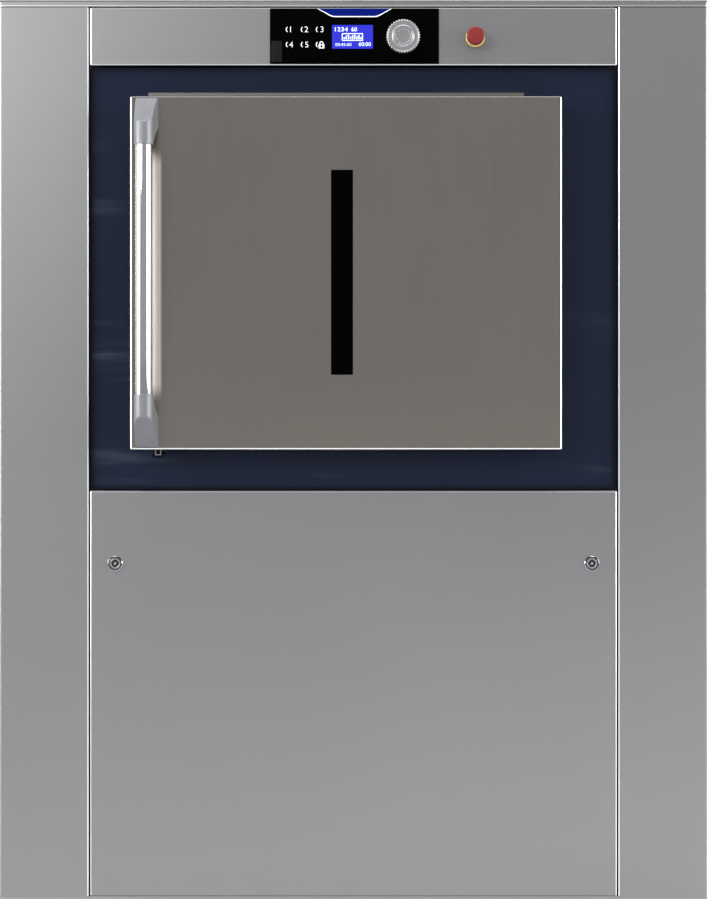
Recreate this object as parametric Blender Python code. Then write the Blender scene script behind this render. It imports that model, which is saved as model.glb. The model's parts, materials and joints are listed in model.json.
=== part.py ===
"""Barrier washer: a two-sided washing machine that stands in the wall between two rooms.

Metres, +Z up. The origin is on the floor under the middle of the cabinet.
The loading side faces -Y. The unloading side is the loading side turned half round about Z.
"""

import math
from collections import namedtuple

import bmesh
import bpy
from mathutils import Vector

# Running gap left wherever one piece seats on another.
SEAT = 0.0003
# How far a cutting shape runs past the faces that it cuts through.
OVERRUN = 0.004

# Cabinet
CABINET_WIDTH = 1.165
CABINET_DEPTH = 1.010
CABINET_HEIGHT = 1.480
COLUMN_WIDTH = 0.1465
TOP_COVER_HEIGHT = 0.0098
FLOOR_CLEARANCE = 0.005
PANEL_SHEET = 0.0015
PANEL_BEND = 0.002
PANEL_RETURN = 0.0185
PANEL_JOINT = 0.002
ROW_JOINT = 0.0015
LIP_WIDTH = 0.020
FASCIA_HEIGHT = 0.0955
SURROUND_RECESS = 0.012
SURROUND_SHEET = 0.003

# Base frame
BASE_HEIGHT = 0.080
RAIL_WIDTH = 0.060
CROSS_RAIL_WIDTH = 0.070
SHELF_THICKNESS = 0.012
FOOT_RADIUS = 0.028

# Door
DOOR_HEIGHT = 0.5775
DOOR_CENTRE_X = -0.01225
DOOR_RISE = 0.0643
DOOR_TOP_MARGIN = 0.0555
DOOR_SIDE_OVERLAP = 0.07275
DOOR_END_OVERLAP = 0.07375
DOOR_STANDOUT = 0.045
DOOR_RETURN = 0.028
DOOR_SHEET = 0.0015
DOOR_BEND = 0.002
PAN_SHEET = 0.0025
PAN_INSET = 0.0015
PLUG_OVERLAP = 0.012
DRIP_LIP_LEFT = 0.028
DRIP_LIP_RIGHT = 0.0605
DRIP_LIP_RISE = 0.0095
DRIP_LIP_ROOT = 0.020
DRIP_LIP_THICKNESS = 0.0027
WINDOW_WIDTH = 0.036
WINDOW_CENTRE_X = -0.0188
WINDOW_BOTTOM_MARGIN = 0.04825
WINDOW_TOP_MARGIN = 0.04675
WINDOW_WALL = 0.003
WINDOW_FLANGE = 0.010
WINDOW_RECESS = 0.0004

# Hinge
HINGE_INSET = 0.012
HINGE_DEPTH = 0.015
HINGE_STATION = 0.120
HINGE_PIN_RADIUS = 0.005
HINGE_EYE_RADIUS = 0.009
HINGE_ARM_THICKNESS = 0.010
HINGE_ARM_HEIGHT = 0.030
HINGE_KNUCKLE_HEIGHT = 0.022
HINGE_NOTCH_GAP = 0.002
HINGE_POST_THICKNESS = 0.0057
HINGE_POST_LEFT = 0.024
HINGE_POST_RIGHT = 0.014
HINGE_POST_MARGIN = 0.060

# Handle
HANDLE_TUBE_RADIUS = 0.01375
HANDLE_TUBE_WALL = 0.0015
HANDLE_STANDOFF = 0.048
HANDLE_EDGE_LEFT = 0.0095
HANDLE_EDGE_END = 0.004
FOOT_ROOT_WIDTH = 0.0369
FOOT_ROOT_HEIGHT = 0.047
FOOT_WEB_MARGIN = 0.002         # between the web and the collar's end
FOOT_FRONT_WIDTH = 0.030
FOOT_SLOPE_DROP = 0.0416
FOOT_TOP_DEPTH = 0.006
FOOT_TOTAL_HEIGHT = 0.0825
FOOT_COLLAR_HEIGHT = 0.036
FOOT_COLLAR_RADIUS = 0.0154
FOOT_SOCKET_DEPTH = 0.014

# Lock under the door
STAPLE_WIDTH = 0.010
STAPLE_STRIP = 0.0015
STAPLE_LEFT = 0.039
STAPLE_DROP = 0.008
STAPLE_HEIGHT = 0.0195
STAPLE_REACH = 0.0545
STAPLE_SLOT_GAP = 0.006
STAPLE_SLOT_RISE = 0.003
LOCK_BOLT_RADIUS = 0.005
LOCK_BOLT_HOLE_GAP = 0.001
LOCK_BOLT_BACK = 0.010
LOCK_BOLT_TAIL = 0.007
LOCK_CASE_WALL = 0.009
LOCK_CASE_TAIL = 0.045
LOCK_CASE_BACK = 0.008
LOCK_REST_GAP = 0.0005

# Mouths and tub
MOUTH_TUB_MARGIN = 0.03775
MOUTH_CORNER = 0.030
GASKET_SECTION = 0.018
GASKET_DEPTH = 0.0137
GASKET_CLEARANCE = 0.002
DUCT_FLANGE = 0.020
DUCT_WALL = 0.003
AXLE_DROP = 0.044
DRIVE_SPACE = 0.2525
TUB_RADIUS = 0.375
TUB_WALL = 0.003
TUB_END_RIM = 0.014
TUB_END_THICKNESS = 0.008
TUB_END_MOTOR_GAP = 0.025
TUB_END_FOOT_HEIGHT = 0.012
TUB_END_FOOT_WIDTH = 0.066
TUB_END_HIPS = math.radians(25)
HOUSING_RADIUS = 0.085
HOUSING_LENGTH = 0.068
HOUSING_INNER_WALL = 0.014
SUMP_RADIUS = 0.040
SUMP_WALL = 0.005
SUMP_DROP = 0.025

# Drum
DRUM_GAP = 0.025
DRUM_END_GAP = 0.020
DRUM_WALL = 0.003
DRUM_END_THICKNESS = 0.006
DRUM_MOUTH_MARGIN = 0.033
DRUM_MOUTH_SPAN = math.radians(64)
DRUM_MOUTH_TILT = math.radians(10)
DRUM_RAIL_WIDTH = 0.012
DRUM_RAIL_LIP = 0.008
DRUM_RAIL_WALL = 0.003
SHUTTER_WALL = 0.003
SHUTTER_OVERLAP = math.radians(5)
LIFTER_HEIGHT = 0.055
LIFTER_WIDTH = 0.090
LIFTER_CREST_SHARE = 0.15
LIFTER_COUNT = 3
JOURNAL_RADIUS = 0.040
JOURNAL_FLANGE_RADIUS = 0.110
JOURNAL_FLANGE_THICKNESS = 0.012
JOURNAL_PROUD = 0.004
BEARING_RADIUS = 0.060
BEARING_WIDTH = 0.040

# Drive in the right-hand column
DRUM_PULLEY_RADIUS = 0.200
DRUM_PULLEY_RIM = 0.020
DRUM_PULLEY_HUB_RADIUS = 0.060
DRUM_PULLEY_WEB = 0.012
MOTOR_PULLEY_RADIUS = 0.040
PULLEY_WIDTH = 0.040
PULLEY_HUB_PROUD = 0.005
PULLEY_WALL_GAP = 0.056
BELT_WIDTH = 0.037
BELT_THICKNESS = 0.008
MOTOR_RADIUS = 0.095
MOTOR_LENGTH = 0.240
MOTOR_BACK_GAP = 0.0297
MOTOR_UNDER_GAP = 0.0247
MOTOR_GAP = 0.020
MOTOR_SHAFT_RADIUS = 0.014
MOTOR_SHAFT_SEAT = 0.030
MOTOR_FOOT_WIDTH = 0.160
MOTOR_FOOT_HEIGHT = 0.045
SHELF_MARGIN = 0.020

# Water
DRAIN_FLANGE_RADIUS = 0.050
DRAIN_FLANGE_THICKNESS = 0.012
DRAIN_PIPE_RADIUS = 0.035
DRAIN_BODY_SIZE = 0.100
DRAIN_BODY_DROP = 0.090
DRAIN_END_HEIGHT = 0.040
DRAIN_BORE_RADIUS = 0.030
INLET_LENGTH = 0.200
INLET_WIDTH = 0.060
INLET_HEIGHT = 0.040
INLET_BACK_MARGIN = 0.175
INLET_NIPPLE_RADIUS = 0.010
INLET_NIPPLE_BORE = 0.007
INLET_NIPPLE_BORE_DEPTH = 0.030
INLET_NIPPLE_PITCH = 0.065
INLET_NIPPLE_COUNT = 3
INLET_HOLE_GAP = 0.003

# Controls
OVERLAY_WIDTH = 0.2782
OVERLAY_EDGE = 0.00195
OVERLAY_CENTRE_X = 0.0015
OVERLAY_THICKNESS = 0.002
OVERLAY_CORNER = 0.0015
CONTROLLER_MARGIN = 0.012
CONTROLLER_DEPTH = 0.065
KNOB_CENTRE_X = 0.0816
KNOB_RISE = 0.045
KNOB_RADIUS = 0.028
KNOB_LENGTH = 0.018
KNOB_GAP = 0.002
KNOB_EDGE = 0.0015
KNOB_DISH_RADIUS = 0.0165
KNOB_DISH_DEPTH = 0.0025
KNOB_FRONT_WALL = 0.003
ENCODER_RADIUS = 0.004
ENCODER_DEPTH = 0.040
PORT_COVER_WIDTH = 0.0171
PORT_COVER_HEIGHT = 0.0346
PORT_COVER_THICKNESS = 0.002
PORT_COVER_LEFT = 0.0026
PORT_COVER_RISE = 0.003
ESTOP_CENTRE_X = 0.2005
ESTOP_RISE = 0.0456
ESTOP_COLLAR_RADIUS = 0.0155
ESTOP_COLLAR_HEIGHT = 0.0057
ESTOP_COLLAR_EDGE = 0.0015
ESTOP_BARREL_RADIUS = 0.011
ESTOP_BARREL_LENGTH = 0.035
ESTOP_STEM_RADIUS = 0.007
ESTOP_CAP_RADIUS = 0.0147
ESTOP_CAP_HEIGHT = 0.020
ESTOP_CAP_EDGE = 0.004
ESTOP_CAP_CROWN = 0.002
ESTOP_TRAVEL = 0.005
QUARTER_LOCK_MARGIN = 0.0415
QUARTER_LOCK_DROP = 0.1199
QUARTER_LOCK_RADIUS = 0.0125
QUARTER_LOCK_HEAD = 0.0035
QUARTER_LOCK_EDGE = 0.0012
QUARTER_LOCK_RECESS_RADIUS = 0.009
QUARTER_LOCK_RECESS_DEPTH = 0.0015
QUARTER_LOCK_BARREL = 0.010
CAM_LENGTH = 0.033
CAM_WIDTH = 0.016
CAM_THICKNESS = 0.003

# Facets on round pieces
DRUM_STEPS = 48
PULLEY_STEPS = 28
ROUND_STEPS = 20
SMALL_ROUND_STEPS = 12
CORNER_STEPS = 2
BEND_STEPS = 2
BEND_PROFILE_SHARE = 0.5
SMOOTH_LIMIT = 35

# Places worked out from the sizes above, on the loading side
FRONT = -CABINET_DEPTH / 2
HALF_WIDTH = CABINET_WIDTH / 2
COLUMN_INNER = HALF_WIDTH - COLUMN_WIDTH
PANEL_HALF_WIDTH = COLUMN_INNER - PANEL_JOINT
SIDE_TOP = CABINET_HEIGHT - TOP_COVER_HEIGHT - SEAT
FASCIA_TOP = SIDE_TOP - ROW_JOINT
FASCIA_BOTTOM = FASCIA_TOP - FASCIA_HEIGHT
SURROUND_TOP = FASCIA_BOTTOM - ROW_JOINT
SURROUND_HEIGHT = DOOR_RISE + DOOR_HEIGHT + DOOR_TOP_MARGIN
SURROUND_BOTTOM = SURROUND_TOP - SURROUND_HEIGHT
SERVICE_TOP = SURROUND_BOTTOM - ROW_JOINT
RETURN_END = FRONT + PANEL_RETURN
LIP_FRONT = RETURN_END + SEAT
LIP_BACK = LIP_FRONT + PANEL_SHEET
SURROUND_FRONT = FRONT + SURROUND_RECESS
SURROUND_BACK = SURROUND_FRONT + SURROUND_SHEET

TUB_HALF_LENGTH = HALF_WIDTH - DRIVE_SPACE
MOUTH_WIDTH = 2 * (TUB_HALF_LENGTH - abs(DOOR_CENTRE_X) - MOUTH_TUB_MARGIN)
MOUTH_HEIGHT = DOOR_HEIGHT - 2 * DOOR_END_OVERLAP
DOOR_WIDTH = MOUTH_WIDTH + 2 * DOOR_SIDE_OVERLAP
DOOR_LEFT = DOOR_CENTRE_X - DOOR_WIDTH / 2
DOOR_RIGHT = DOOR_CENTRE_X + DOOR_WIDTH / 2
DOOR_BOTTOM = SURROUND_BOTTOM + DOOR_RISE
DOOR_TOP = DOOR_BOTTOM + DOOR_HEIGHT
DOOR_CENTRE_Z = (DOOR_BOTTOM + DOOR_TOP) / 2
DOOR_FRONT = FRONT - DOOR_STANDOUT
DOOR_BACK = DOOR_FRONT + DOOR_RETURN
PAN_FRONT = DOOR_BACK - PAN_INSET
PAN_BACK = PAN_FRONT + PAN_SHEET
HINGE_X = DOOR_RIGHT - HINGE_INSET
HINGE_Y = DOOR_FRONT + HINGE_DEPTH
HINGE_HEIGHTS = (DOOR_BOTTOM + HINGE_STATION, DOOR_TOP - HINGE_STATION)
KNUCKLE_REACH = HINGE_ARM_HEIGHT / 2 + SEAT + HINGE_KNUCKLE_HEIGHT

WINDOW_X = (WINDOW_CENTRE_X - WINDOW_WIDTH / 2, WINDOW_CENTRE_X + WINDOW_WIDTH / 2)
WINDOW_Z = (DOOR_BOTTOM + DOOR_END_OVERLAP + WINDOW_BOTTOM_MARGIN,
            DOOR_TOP - DOOR_END_OVERLAP - WINDOW_TOP_MARGIN)

GASKET_BACK = LIP_BACK + GASKET_DEPTH + SEAT
GASKET_FRONT = GASKET_BACK - GASKET_DEPTH
PLUG_BACK = GASKET_FRONT - SEAT
DUCT_END = GASKET_BACK + SEAT

HANDLE_X = DOOR_LEFT + HANDLE_EDGE_LEFT + FOOT_COLLAR_RADIUS
HANDLE_Y = DOOR_FRONT - HANDLE_STANDOFF

STAPLE_X = (DOOR_LEFT + STAPLE_LEFT, DOOR_LEFT + STAPLE_LEFT + STAPLE_WIDTH)
STAPLE_Z = (DOOR_BOTTOM - STAPLE_DROP, DOOR_BOTTOM - STAPLE_DROP + STAPLE_HEIGHT)
STAPLE_Y = (PAN_BACK + SEAT, PAN_BACK + SEAT + STAPLE_REACH)
SLOT_X = (STAPLE_X[0] - STAPLE_SLOT_GAP, STAPLE_X[1] + STAPLE_SLOT_GAP)
SLOT_Z = (STAPLE_Z[0] - STAPLE_SLOT_RISE, STAPLE_Z[1] + STAPLE_SLOT_RISE)
LOCK_BOLT_PLACE = (STAPLE_Y[1] - LOCK_BOLT_BACK, (STAPLE_Z[0] + STAPLE_Z[1]) / 2)

OVERLAY_BACK = FRONT - SEAT
OVERLAY_FRONT = OVERLAY_BACK - OVERLAY_THICKNESS
OVERLAY_X = (OVERLAY_CENTRE_X - OVERLAY_WIDTH / 2, OVERLAY_CENTRE_X + OVERLAY_WIDTH / 2)
OVERLAY_Z = (FASCIA_BOTTOM + OVERLAY_EDGE, FASCIA_TOP - OVERLAY_EDGE)
CONTROLLER_X = (OVERLAY_X[0] + CONTROLLER_MARGIN, OVERLAY_X[1] - CONTROLLER_MARGIN)
CONTROLLER_Z = (OVERLAY_Z[0] + CONTROLLER_MARGIN, OVERLAY_Z[1] - CONTROLLER_MARGIN)
CONTROLLER_FRONT = OVERLAY_BACK + SEAT
KNOB_PLACE = (KNOB_CENTRE_X, FASCIA_BOTTOM + KNOB_RISE)
KNOB_BACK = OVERLAY_FRONT - KNOB_GAP
KNOB_FRONT = KNOB_BACK - KNOB_LENGTH
PORT_X = (OVERLAY_X[0] + PORT_COVER_LEFT, OVERLAY_X[0] + PORT_COVER_LEFT + PORT_COVER_WIDTH)
PORT_Z = (OVERLAY_Z[0] + PORT_COVER_RISE, OVERLAY_Z[0] + PORT_COVER_RISE + PORT_COVER_HEIGHT)
ESTOP_PLACE = (ESTOP_CENTRE_X, FASCIA_BOTTOM + ESTOP_RISE)
QUARTER_LOCK_X = PANEL_HALF_WIDTH - QUARTER_LOCK_MARGIN
QUARTER_LOCK_Z = SERVICE_TOP - QUARTER_LOCK_DROP

BASE_HALF_WIDTH = HALF_WIDTH - PANEL_SHEET - SEAT
BASE_HALF_DEPTH = -(LIP_BACK + SEAT)
AXLE_HEIGHT = DOOR_CENTRE_Z - AXLE_DROP
TUB_OUTER = TUB_RADIUS + TUB_WALL
TUB_END_RADIUS = TUB_OUTER + TUB_END_RIM
TUB_END_INNER = TUB_HALF_LENGTH + SEAT
TUB_END_OUTER = TUB_END_INNER + TUB_END_THICKNESS
CROSS_RAIL_X = (TUB_END_INNER + TUB_END_OUTER) / 2
HOUSING_END = TUB_END_INNER + HOUSING_LENGTH
BEARING_INNER_X = TUB_END_INNER + HOUSING_INNER_WALL + SEAT
DRUM_RADIUS = TUB_RADIUS - DRUM_GAP
DRUM_HALF_LENGTH = TUB_HALF_LENGTH - DRUM_END_GAP
DRUM_FACET = math.cos(math.pi / DRUM_STEPS)
SHUTTER_INNER = DRUM_RADIUS / DRUM_FACET + SEAT
SHUTTER_OUTER = SHUTTER_INNER + SHUTTER_WALL
RAIL_UNDERSIDE = (SHUTTER_OUTER + SEAT) / DRUM_FACET
RAIL_OUTER = RAIL_UNDERSIDE + DRUM_RAIL_WALL
RAIL_FACE = DRUM_HALF_LENGTH - DRUM_RAIL_WIDTH
SHUTTER_HALF_LENGTH = RAIL_FACE - SEAT
DRUM_MOUTH_WIDTH = 2 * (RAIL_FACE - DRUM_MOUTH_MARGIN)
PULLEY_OUTER_X = HALF_WIDTH - PULLEY_WALL_GAP
PULLEY_X = (PULLEY_OUTER_X - PULLEY_WIDTH, PULLEY_OUTER_X)
MOTOR_X = (PULLEY_X[0] - MOTOR_GAP - MOTOR_LENGTH, PULLEY_X[0] - MOTOR_GAP)
MOTOR_CENTRE_Y = -LIP_BACK - MOTOR_BACK_GAP - MOTOR_RADIUS
MOTOR_AXLE_HEIGHT = BASE_HEIGHT + SEAT + MOTOR_UNDER_GAP + MOTOR_RADIUS
TUB_END_SPREAD = MOTOR_CENTRE_Y - MOTOR_RADIUS - TUB_END_MOTOR_GAP
TUB_END_SHOULDER = MOTOR_AXLE_HEIGHT + MOTOR_RADIUS + TUB_END_MOTOR_GAP
INLET_CENTRE_Y = -FRONT - INLET_BACK_MARGIN
SUMP_BOTTOM = AXLE_HEIGHT - TUB_OUTER - SUMP_DROP

Side = namedtuple("Side", "prefix parent")


# Shapes. Each returns a closed mesh with its faces pointing out.

def place_on(axis, a, b, along):
    return {"X": (along, a, b), "Y": (a, along, b), "Z": (a, b, along)}[axis]


def prism(outline, axis, start, end):
    """A flat outline carried straight along an axis."""
    shape = bmesh.new()
    near = [shape.verts.new(place_on(axis, a, b, start)) for a, b in outline]
    far = [shape.verts.new(place_on(axis, a, b, end)) for a, b in outline]
    shape.faces.new(near)
    shape.faces.new(far)
    for i in range(len(outline)):
        shape.faces.new((near[i - 1], near[i], far[i], far[i - 1]))
    bmesh.ops.recalc_face_normals(shape, faces=shape.faces)
    return shape


def frame_prism(outer, inner, axis, start, end):
    """A ring between two outlines with as many points each, carried straight along an axis."""
    shape = bmesh.new()
    rings = []
    for outline, along in ((outer, start), (outer, end), (inner, end), (inner, start)):
        rings.append([shape.verts.new(place_on(axis, a, b, along)) for a, b in outline])
    for near, far in zip(rings, rings[1:] + rings[:1]):
        for i in range(len(outer)):
            shape.faces.new((near[i - 1], near[i], far[i], far[i - 1]))
    bmesh.ops.recalc_face_normals(shape, faces=shape.faces)
    return shape


def box(x, y, z):
    return prism([(x[0], y[0]), (x[1], y[0]), (x[1], y[1]), (x[0], y[1])], "Z", z[0], z[1])


def turned(profile, axis, centre, steps):
    """A profile of (along, radius) points turned about a line parallel to an axis.

    A profile that starts and ends on the line is a solid, and any other profile is a closed ring.
    """
    shape = bmesh.new()
    on_line = profile[0][1] == 0 and profile[-1][1] == 0
    rings = []
    for along, radius in profile[1:-1] if on_line else profile:
        ring = []
        for i in range(steps):
            angle = 2 * math.pi * i / steps
            a = centre[0] + radius * math.cos(angle)
            b = centre[1] + radius * math.sin(angle)
            ring.append(shape.verts.new(place_on(axis, a, b, along)))
        rings.append(ring)
    followers = rings[1:] if on_line else rings[1:] + rings[:1]
    for near, far in zip(rings, followers):
        for i in range(steps):
            shape.faces.new((near[i - 1], near[i], far[i], far[i - 1]))
    if on_line:
        for ring, tip, rim in ((rings[0], profile[0], profile[1]), (rings[-1], profile[-1], profile[-2])):
            if tip[0] == rim[0]:
                shape.faces.new(ring)
                continue
            point = shape.verts.new(place_on(axis, *centre, tip[0]))
            for i in range(steps):
                shape.faces.new((ring[i - 1], ring[i], point))
    bmesh.ops.recalc_face_normals(shape, faces=shape.faces)
    return shape


def rod(axis, centre, radius, start, end, steps=SMALL_ROUND_STEPS):
    return turned([(start, 0), (start, radius), (end, radius), (end, 0)], axis, centre, steps)


def clear_radius(radius, steps):
    """The corner radius of a faceted hole whose flats clear a round piece of a radius."""
    return (radius + SEAT) / math.cos(math.pi / steps)


def bore(axis, centre, radius, start, end, steps=SMALL_ROUND_STEPS):
    return rod(axis, centre, clear_radius(radius, steps), start, end, steps)


def arc(centre, radius, start, end, steps):
    points = []
    for i in range(steps + 1):
        angle = start + (end - start) * i / steps
        points.append((centre[0] + radius * math.cos(angle), centre[1] + radius * math.sin(angle)))
    return points


def rounded_rectangle(a, b, radius, steps=CORNER_STEPS):
    points = []
    corners = ((a[1], b[1], 0), (a[0], b[1], 1), (a[0], b[0], 2), (a[1], b[0], 3))
    for corner_a, corner_b, quarter in corners:
        start = quarter * math.pi / 2
        side_a = -1 if quarter in (0, 3) else 1
        side_b = -1 if quarter in (0, 1) else 1
        centre = (corner_a + side_a * radius, corner_b + side_b * radius)
        points += arc(centre, radius, start, start + math.pi / 2, steps)
    return points


def around(span, margin):
    return span[0] - margin, span[1] + margin


def soften(shape, radius, is_sharp):
    """Round the edges of a shape, apart from those whose two ends both count as sharp."""
    edges = [e for e in shape.edges if not all(is_sharp(v.co) for v in e.verts)]
    bmesh.ops.bevel(shape, geom=edges, offset=radius, segments=BEND_STEPS,
                    profile=BEND_PROFILE_SHARE, affect="EDGES")
    return shape


# Pieces

def material(name, colour, roughness, metallic):
    made = bpy.data.materials.get(name)
    if made:
        return made
    made = bpy.data.materials.new(name)
    made.use_nodes = True
    shader = made.node_tree.nodes["Principled BSDF"]
    shader.inputs["Base Color"].default_value = (*colour, 1)
    shader.inputs["Roughness"].default_value = roughness
    shader.inputs["Metallic"].default_value = metallic
    made.diffuse_color = (*colour, 1)
    return made


def satin_steel():
    return material("satin_steel", (0.36, 0.36, 0.37), 0.38, 1)


def brushed_steel():
    return material("brushed_steel", (0.26, 0.24, 0.22), 0.34, 1)


def bright_steel():
    return material("bright_steel", (0.62, 0.62, 0.63), 0.16, 1)


def wash_steel():
    return material("wash_steel", (0.45, 0.45, 0.46), 0.3, 1)


def painted_frame():
    return material("painted_frame", (0.08, 0.085, 0.09), 0.5, 0)


def navy_gloss():
    return material("navy_gloss", (0.018, 0.024, 0.055), 0.18, 0)


def black_plastic():
    return material("black_plastic", (0.012, 0.012, 0.013), 0.35, 0)


def grey_casting():
    return material("grey_casting", (0.36, 0.38, 0.41), 0.42, 0.6)


def dark_rubber():
    return material("dark_rubber", (0.02, 0.02, 0.021), 0.7, 0)


def red_plastic():
    return material("red_plastic", (0.42, 0.03, 0.035), 0.35, 0)


def yellow_plastic():
    return material("yellow_plastic", (0.75, 0.5, 0.04), 0.4, 0)


def clear_glass():
    return material("clear_glass", (0.02, 0.02, 0.02), 0.05, 0)


def mesh_object(name, shape, parent, origin=(0, 0, 0)):
    for vertex in shape.verts:
        vertex.co -= Vector(origin)
    mesh = bpy.data.meshes.new(name)
    shape.to_mesh(mesh)
    shape.free()
    made = bpy.data.objects.new(name, mesh)
    made.parent = parent
    made.location = origin
    bpy.context.scene.collection.objects.link(made)
    return made


def piece(name, shape, finish, side=None, origin=(0, 0, 0)):
    """A named sub-part. A moving one has its origin on its joint's axis."""
    full_name = f"{side.prefix}_{name}" if side and side.prefix else name
    made = mesh_object(full_name, shape, side.parent if side else None, origin)
    made.data.materials.append(finish)
    made.data.shade_smooth()
    made.data.set_sharp_from_angle(angle=math.radians(SMOOTH_LIMIT))
    return made


def combine(made, shape, operation):
    """Add a shape to a piece or take it away. The shape is in the frame of the piece's side."""
    tool = mesh_object(f"{made.name}_{operation.lower()}_{len(made.modifiers)}", shape, made.parent)
    tool.hide_render = True
    tool.display_type = "WIRE"
    modifier = made.modifiers.new(operation.title(), "BOOLEAN")
    modifier.operation = operation
    modifier.solver = "EXACT"
    modifier.object = tool


def add(made, *shapes):
    for shape in shapes:
        combine(made, shape, "UNION")


def cut(made, *shapes):
    for shape in shapes:
        combine(made, shape, "DIFFERENCE")


def panel(name, x, z, finish, side):
    """A folded sheet-metal panel in the row between the columns, open at its back."""
    made = piece(name, soften(box(x, (FRONT, RETURN_END), z), PANEL_BEND,
                              lambda place: place.y > RETURN_END - SEAT), finish, side)
    cut(made, box(around(x, -PANEL_SHEET), (FRONT + PANEL_SHEET, RETURN_END + OVERRUN),
                  around(z, -PANEL_SHEET)))
    return made


# Cabinet

def column_outline():
    """The folded section of the right-hand side panel, seen from above."""
    half = HALF_WIDTH
    back = -FRONT
    inner = COLUMN_INNER
    sheet = PANEL_SHEET
    lip = inner - LIP_WIDTH
    bend = PANEL_BEND
    quarter = math.pi / 2
    front_inner = arc((inner + bend, FRONT + bend), bend, 2 * quarter, 3 * quarter, CORNER_STEPS)
    front_outer = arc((half - bend, FRONT + bend), bend, 3 * quarter, 4 * quarter, CORNER_STEPS)
    back_outer = arc((half - bend, back - bend), bend, 0, quarter, CORNER_STEPS)
    back_inner = arc((inner + bend, back - bend), bend, quarter, 2 * quarter, CORNER_STEPS)
    outside = [(lip, LIP_BACK), (lip, LIP_FRONT), (inner, LIP_FRONT)]
    outside += front_inner + front_outer + back_outer + back_inner
    outside += [(inner, -LIP_FRONT), (lip, -LIP_FRONT), (lip, -LIP_BACK)]
    inside = [(inner + sheet, -LIP_BACK), (inner + sheet, back - sheet), (half - sheet, back - sheet),
              (half - sheet, FRONT + sheet), (inner + sheet, FRONT + sheet),
              (inner + sheet, LIP_BACK)]
    return outside + inside


def side_panels():
    right = column_outline()
    left = [(-x, y) for x, y in right]
    for name, outline in (("right_side_panel", right), ("left_side_panel", left)):
        piece(name, prism(outline, "Z", FLOOR_CLEARANCE, SIDE_TOP), satin_steel())


def inlet_places():
    first = -INLET_NIPPLE_PITCH * (INLET_NIPPLE_COUNT - 1) / 2
    return [(first + i * INLET_NIPPLE_PITCH, INLET_CENTRE_Y) for i in range(INLET_NIPPLE_COUNT)]


def top_cover():
    bottom = CABINET_HEIGHT - TOP_COVER_HEIGHT
    x = (-HALF_WIDTH, HALF_WIDTH)
    y = (FRONT, -FRONT)
    made = piece("top_cover", soften(box(x, y, (bottom, CABINET_HEIGHT)), PANEL_BEND,
                                     lambda place: place.z < bottom + SEAT), satin_steel())
    cut(made, box(around(x, -PANEL_SHEET), around(y, -PANEL_SHEET),
                  (bottom - OVERRUN, CABINET_HEIGHT - PANEL_SHEET)))
    for place in inlet_places():
        cut(made, rod("Z", place, INLET_NIPPLE_RADIUS + INLET_HOLE_GAP, bottom,
                      CABINET_HEIGHT + OVERRUN))


def base_frame():
    """A welded ring of rails with a cross rail under each end of the tub and a motor shelf."""
    x = (-BASE_HALF_WIDTH, BASE_HALF_WIDTH)
    y = (-BASE_HALF_DEPTH, BASE_HALF_DEPTH)
    z = (FLOOR_CLEARANCE, BASE_HEIGHT)
    made = piece("base_frame", box(x, y, z), painted_frame())
    cut(made, box(around(x, -RAIL_WIDTH), around(y, -RAIL_WIDTH), around(z, OVERRUN)))
    for centre in (-CROSS_RAIL_X, CROSS_RAIL_X):
        rail_x = (centre - CROSS_RAIL_WIDTH / 2, centre + CROSS_RAIL_WIDTH / 2)
        add(made, box(rail_x, around(y, -RAIL_WIDTH / 2), z))
    shelf_y = around((MOTOR_CENTRE_Y, MOTOR_CENTRE_Y), MOTOR_FOOT_WIDTH / 2 + SHELF_MARGIN)
    shelf_x = (MOTOR_X[0] - SHELF_MARGIN, x[1] - RAIL_WIDTH / 2)
    add(made, box(shelf_x, shelf_y, (BASE_HEIGHT - SHELF_THICKNESS, BASE_HEIGHT)))
    reach_x = BASE_HALF_WIDTH - RAIL_WIDTH / 2
    reach_y = BASE_HALF_DEPTH - RAIL_WIDTH / 2
    for centre in ((-reach_x, -reach_y), (reach_x, -reach_y), (-reach_x, reach_y), (reach_x, reach_y)):
        add(made, rod("Z", centre, FOOT_RADIUS, 0, FLOOR_CLEARANCE + OVERRUN))


def service_panel(side, has_locks):
    x = (-PANEL_HALF_WIDTH, PANEL_HALF_WIDTH)
    made = panel("service_panel", x, (FLOOR_CLEARANCE, SERVICE_TOP), satin_steel(), side)
    if has_locks:
        for centre_x in (-QUARTER_LOCK_X, QUARTER_LOCK_X):
            cut(made, bore("Y", (centre_x, QUARTER_LOCK_Z), QUARTER_LOCK_BARREL,
                           FRONT - OVERRUN, FRONT + PANEL_SHEET + OVERRUN))


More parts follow.
